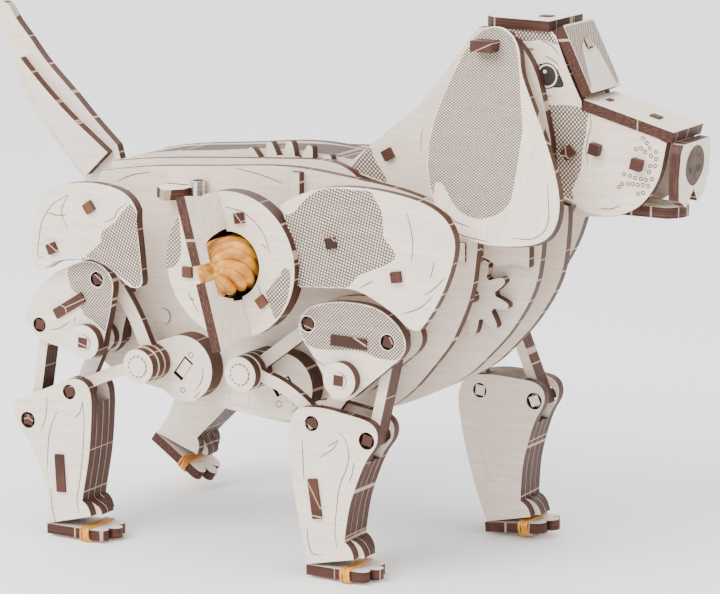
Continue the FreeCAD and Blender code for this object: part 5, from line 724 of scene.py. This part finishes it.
# ------------------------------------------------------------------ floor, light, camera
fm, nt, bs = new_mat("studio_floor")
g = G(nt)
tc = g.n("ShaderNodeTexCoord")
nz = g.noise(tc.outputs["Object"], 3.0, 3.0, 0.5)
nt.links.new(g.ramp(nz, [(0.3, (0.965, 0.965, 0.965)), (0.7, (0.985, 0.985, 0.985))]), bs.inputs["Base Color"])
bs.inputs["Roughness"].default_value = 0.85
bs.inputs["Specular IOR Level"].default_value = 0.1
me = bpy.data.meshes.new("floor")
vs, fs = [], []
prof = [(-6.0, 0.0), (1.2, 0.0), (1.8, 0.06), (2.2, 0.3), (2.4, 0.9), (2.4, 4.5)]
b_ = Vector((math.sin(math.radians(CAM[0])), -math.cos(math.radians(CAM[0])), 0))
r_ = Vector((b_.y * -1, b_.x, 0))
for d, z in prof:
    for w in (-6.0, 6.0):
        p = -b_ * d + r_ * w
        vs.append((p.x, p.y, z))
for i in range(len(prof) - 1):
    fs.append((2 * i, 2 * i + 1, 2 * i + 3, 2 * i + 2))
me.from_pydata(vs, [], fs)
me.materials.append(fm)
me.shade_smooth()
fl = bpy.data.objects.new("floor", me)
bpy.context.scene.collection.objects.link(fl)

wd = bpy.data.worlds.new("studio")
bpy.context.scene.world = wd
wd.use_nodes = True
wd.node_tree.nodes["Background"].inputs[0].default_value = (0.97, 0.98, 1.0, 1)
wd.node_tree.nodes["Background"].inputs[1].default_value = 1.35


def area(name, az, el, dist, size, power, col=(1, 1, 1)):
    ld = bpy.data.lights.new(name, "AREA")
    ld.shape = "RECTANGLE"
    ld.size = size
    ld.size_y = size * 0.8
    ld.energy = power
    ld.color = col
    o = bpy.data.objects.new(name, ld)
    bpy.context.scene.collection.objects.link(o)
    a, e = math.radians(az), math.radians(el)
    d = Vector((math.sin(a) * math.cos(e), -math.cos(a) * math.cos(e), math.sin(e)))
    o.location = Vector((0, 0, 0.1)) + d * dist
    o.rotation_mode = "QUATERNION"
    o.rotation_quaternion = (-d).to_track_quat("-Z", "Y")
    return o


area("key", -18, 42, 1.6, 1.1, 34.0, (1.0, 0.98, 0.95))
area("top", 60, 82, 1.7, 1.6, 14.0)
area("fill", 75, 22, 2.0, 1.4, 5.0, (1.0, 0.98, 0.96))
area("back", 200, 40, 2.2, 1.8, 12.0)

az, el, dist, roll, tx, tz = CAM
a, e, ro = math.radians(az), math.radians(el), math.radians(roll)
b = Vector((math.sin(a) * math.cos(e), -math.cos(a) * math.cos(e), math.sin(e)))
r = Vector((math.cos(a), math.sin(a), 0))
u = b.cross(r)
r2 = r * math.cos(ro) + u * math.sin(ro)
u2 = -r * math.sin(ro) + u * math.cos(ro)
cd = bpy.data.cameras.new("camera")
cam = bpy.data.objects.new("camera", cd)
bpy.context.scene.collection.objects.link(cam)
loc = M(tx, 0, tz) + b * (dist / 1000.0)
cam.matrix_world = Matrix(((r2.x, u2.x, b.x, loc.x), (r2.y, u2.y, b.y, loc.y), (r2.z, u2.z, b.z, loc.z), (0, 0, 0, 1)))
cd.sensor_width = 36.0
cd.lens = 2.62 * dist / 720.0 * 36.0
cd.clip_start = 0.05
cd.clip_end = 50.0
cd.dof.use_dof = False
bpy.context.scene.camera = cam
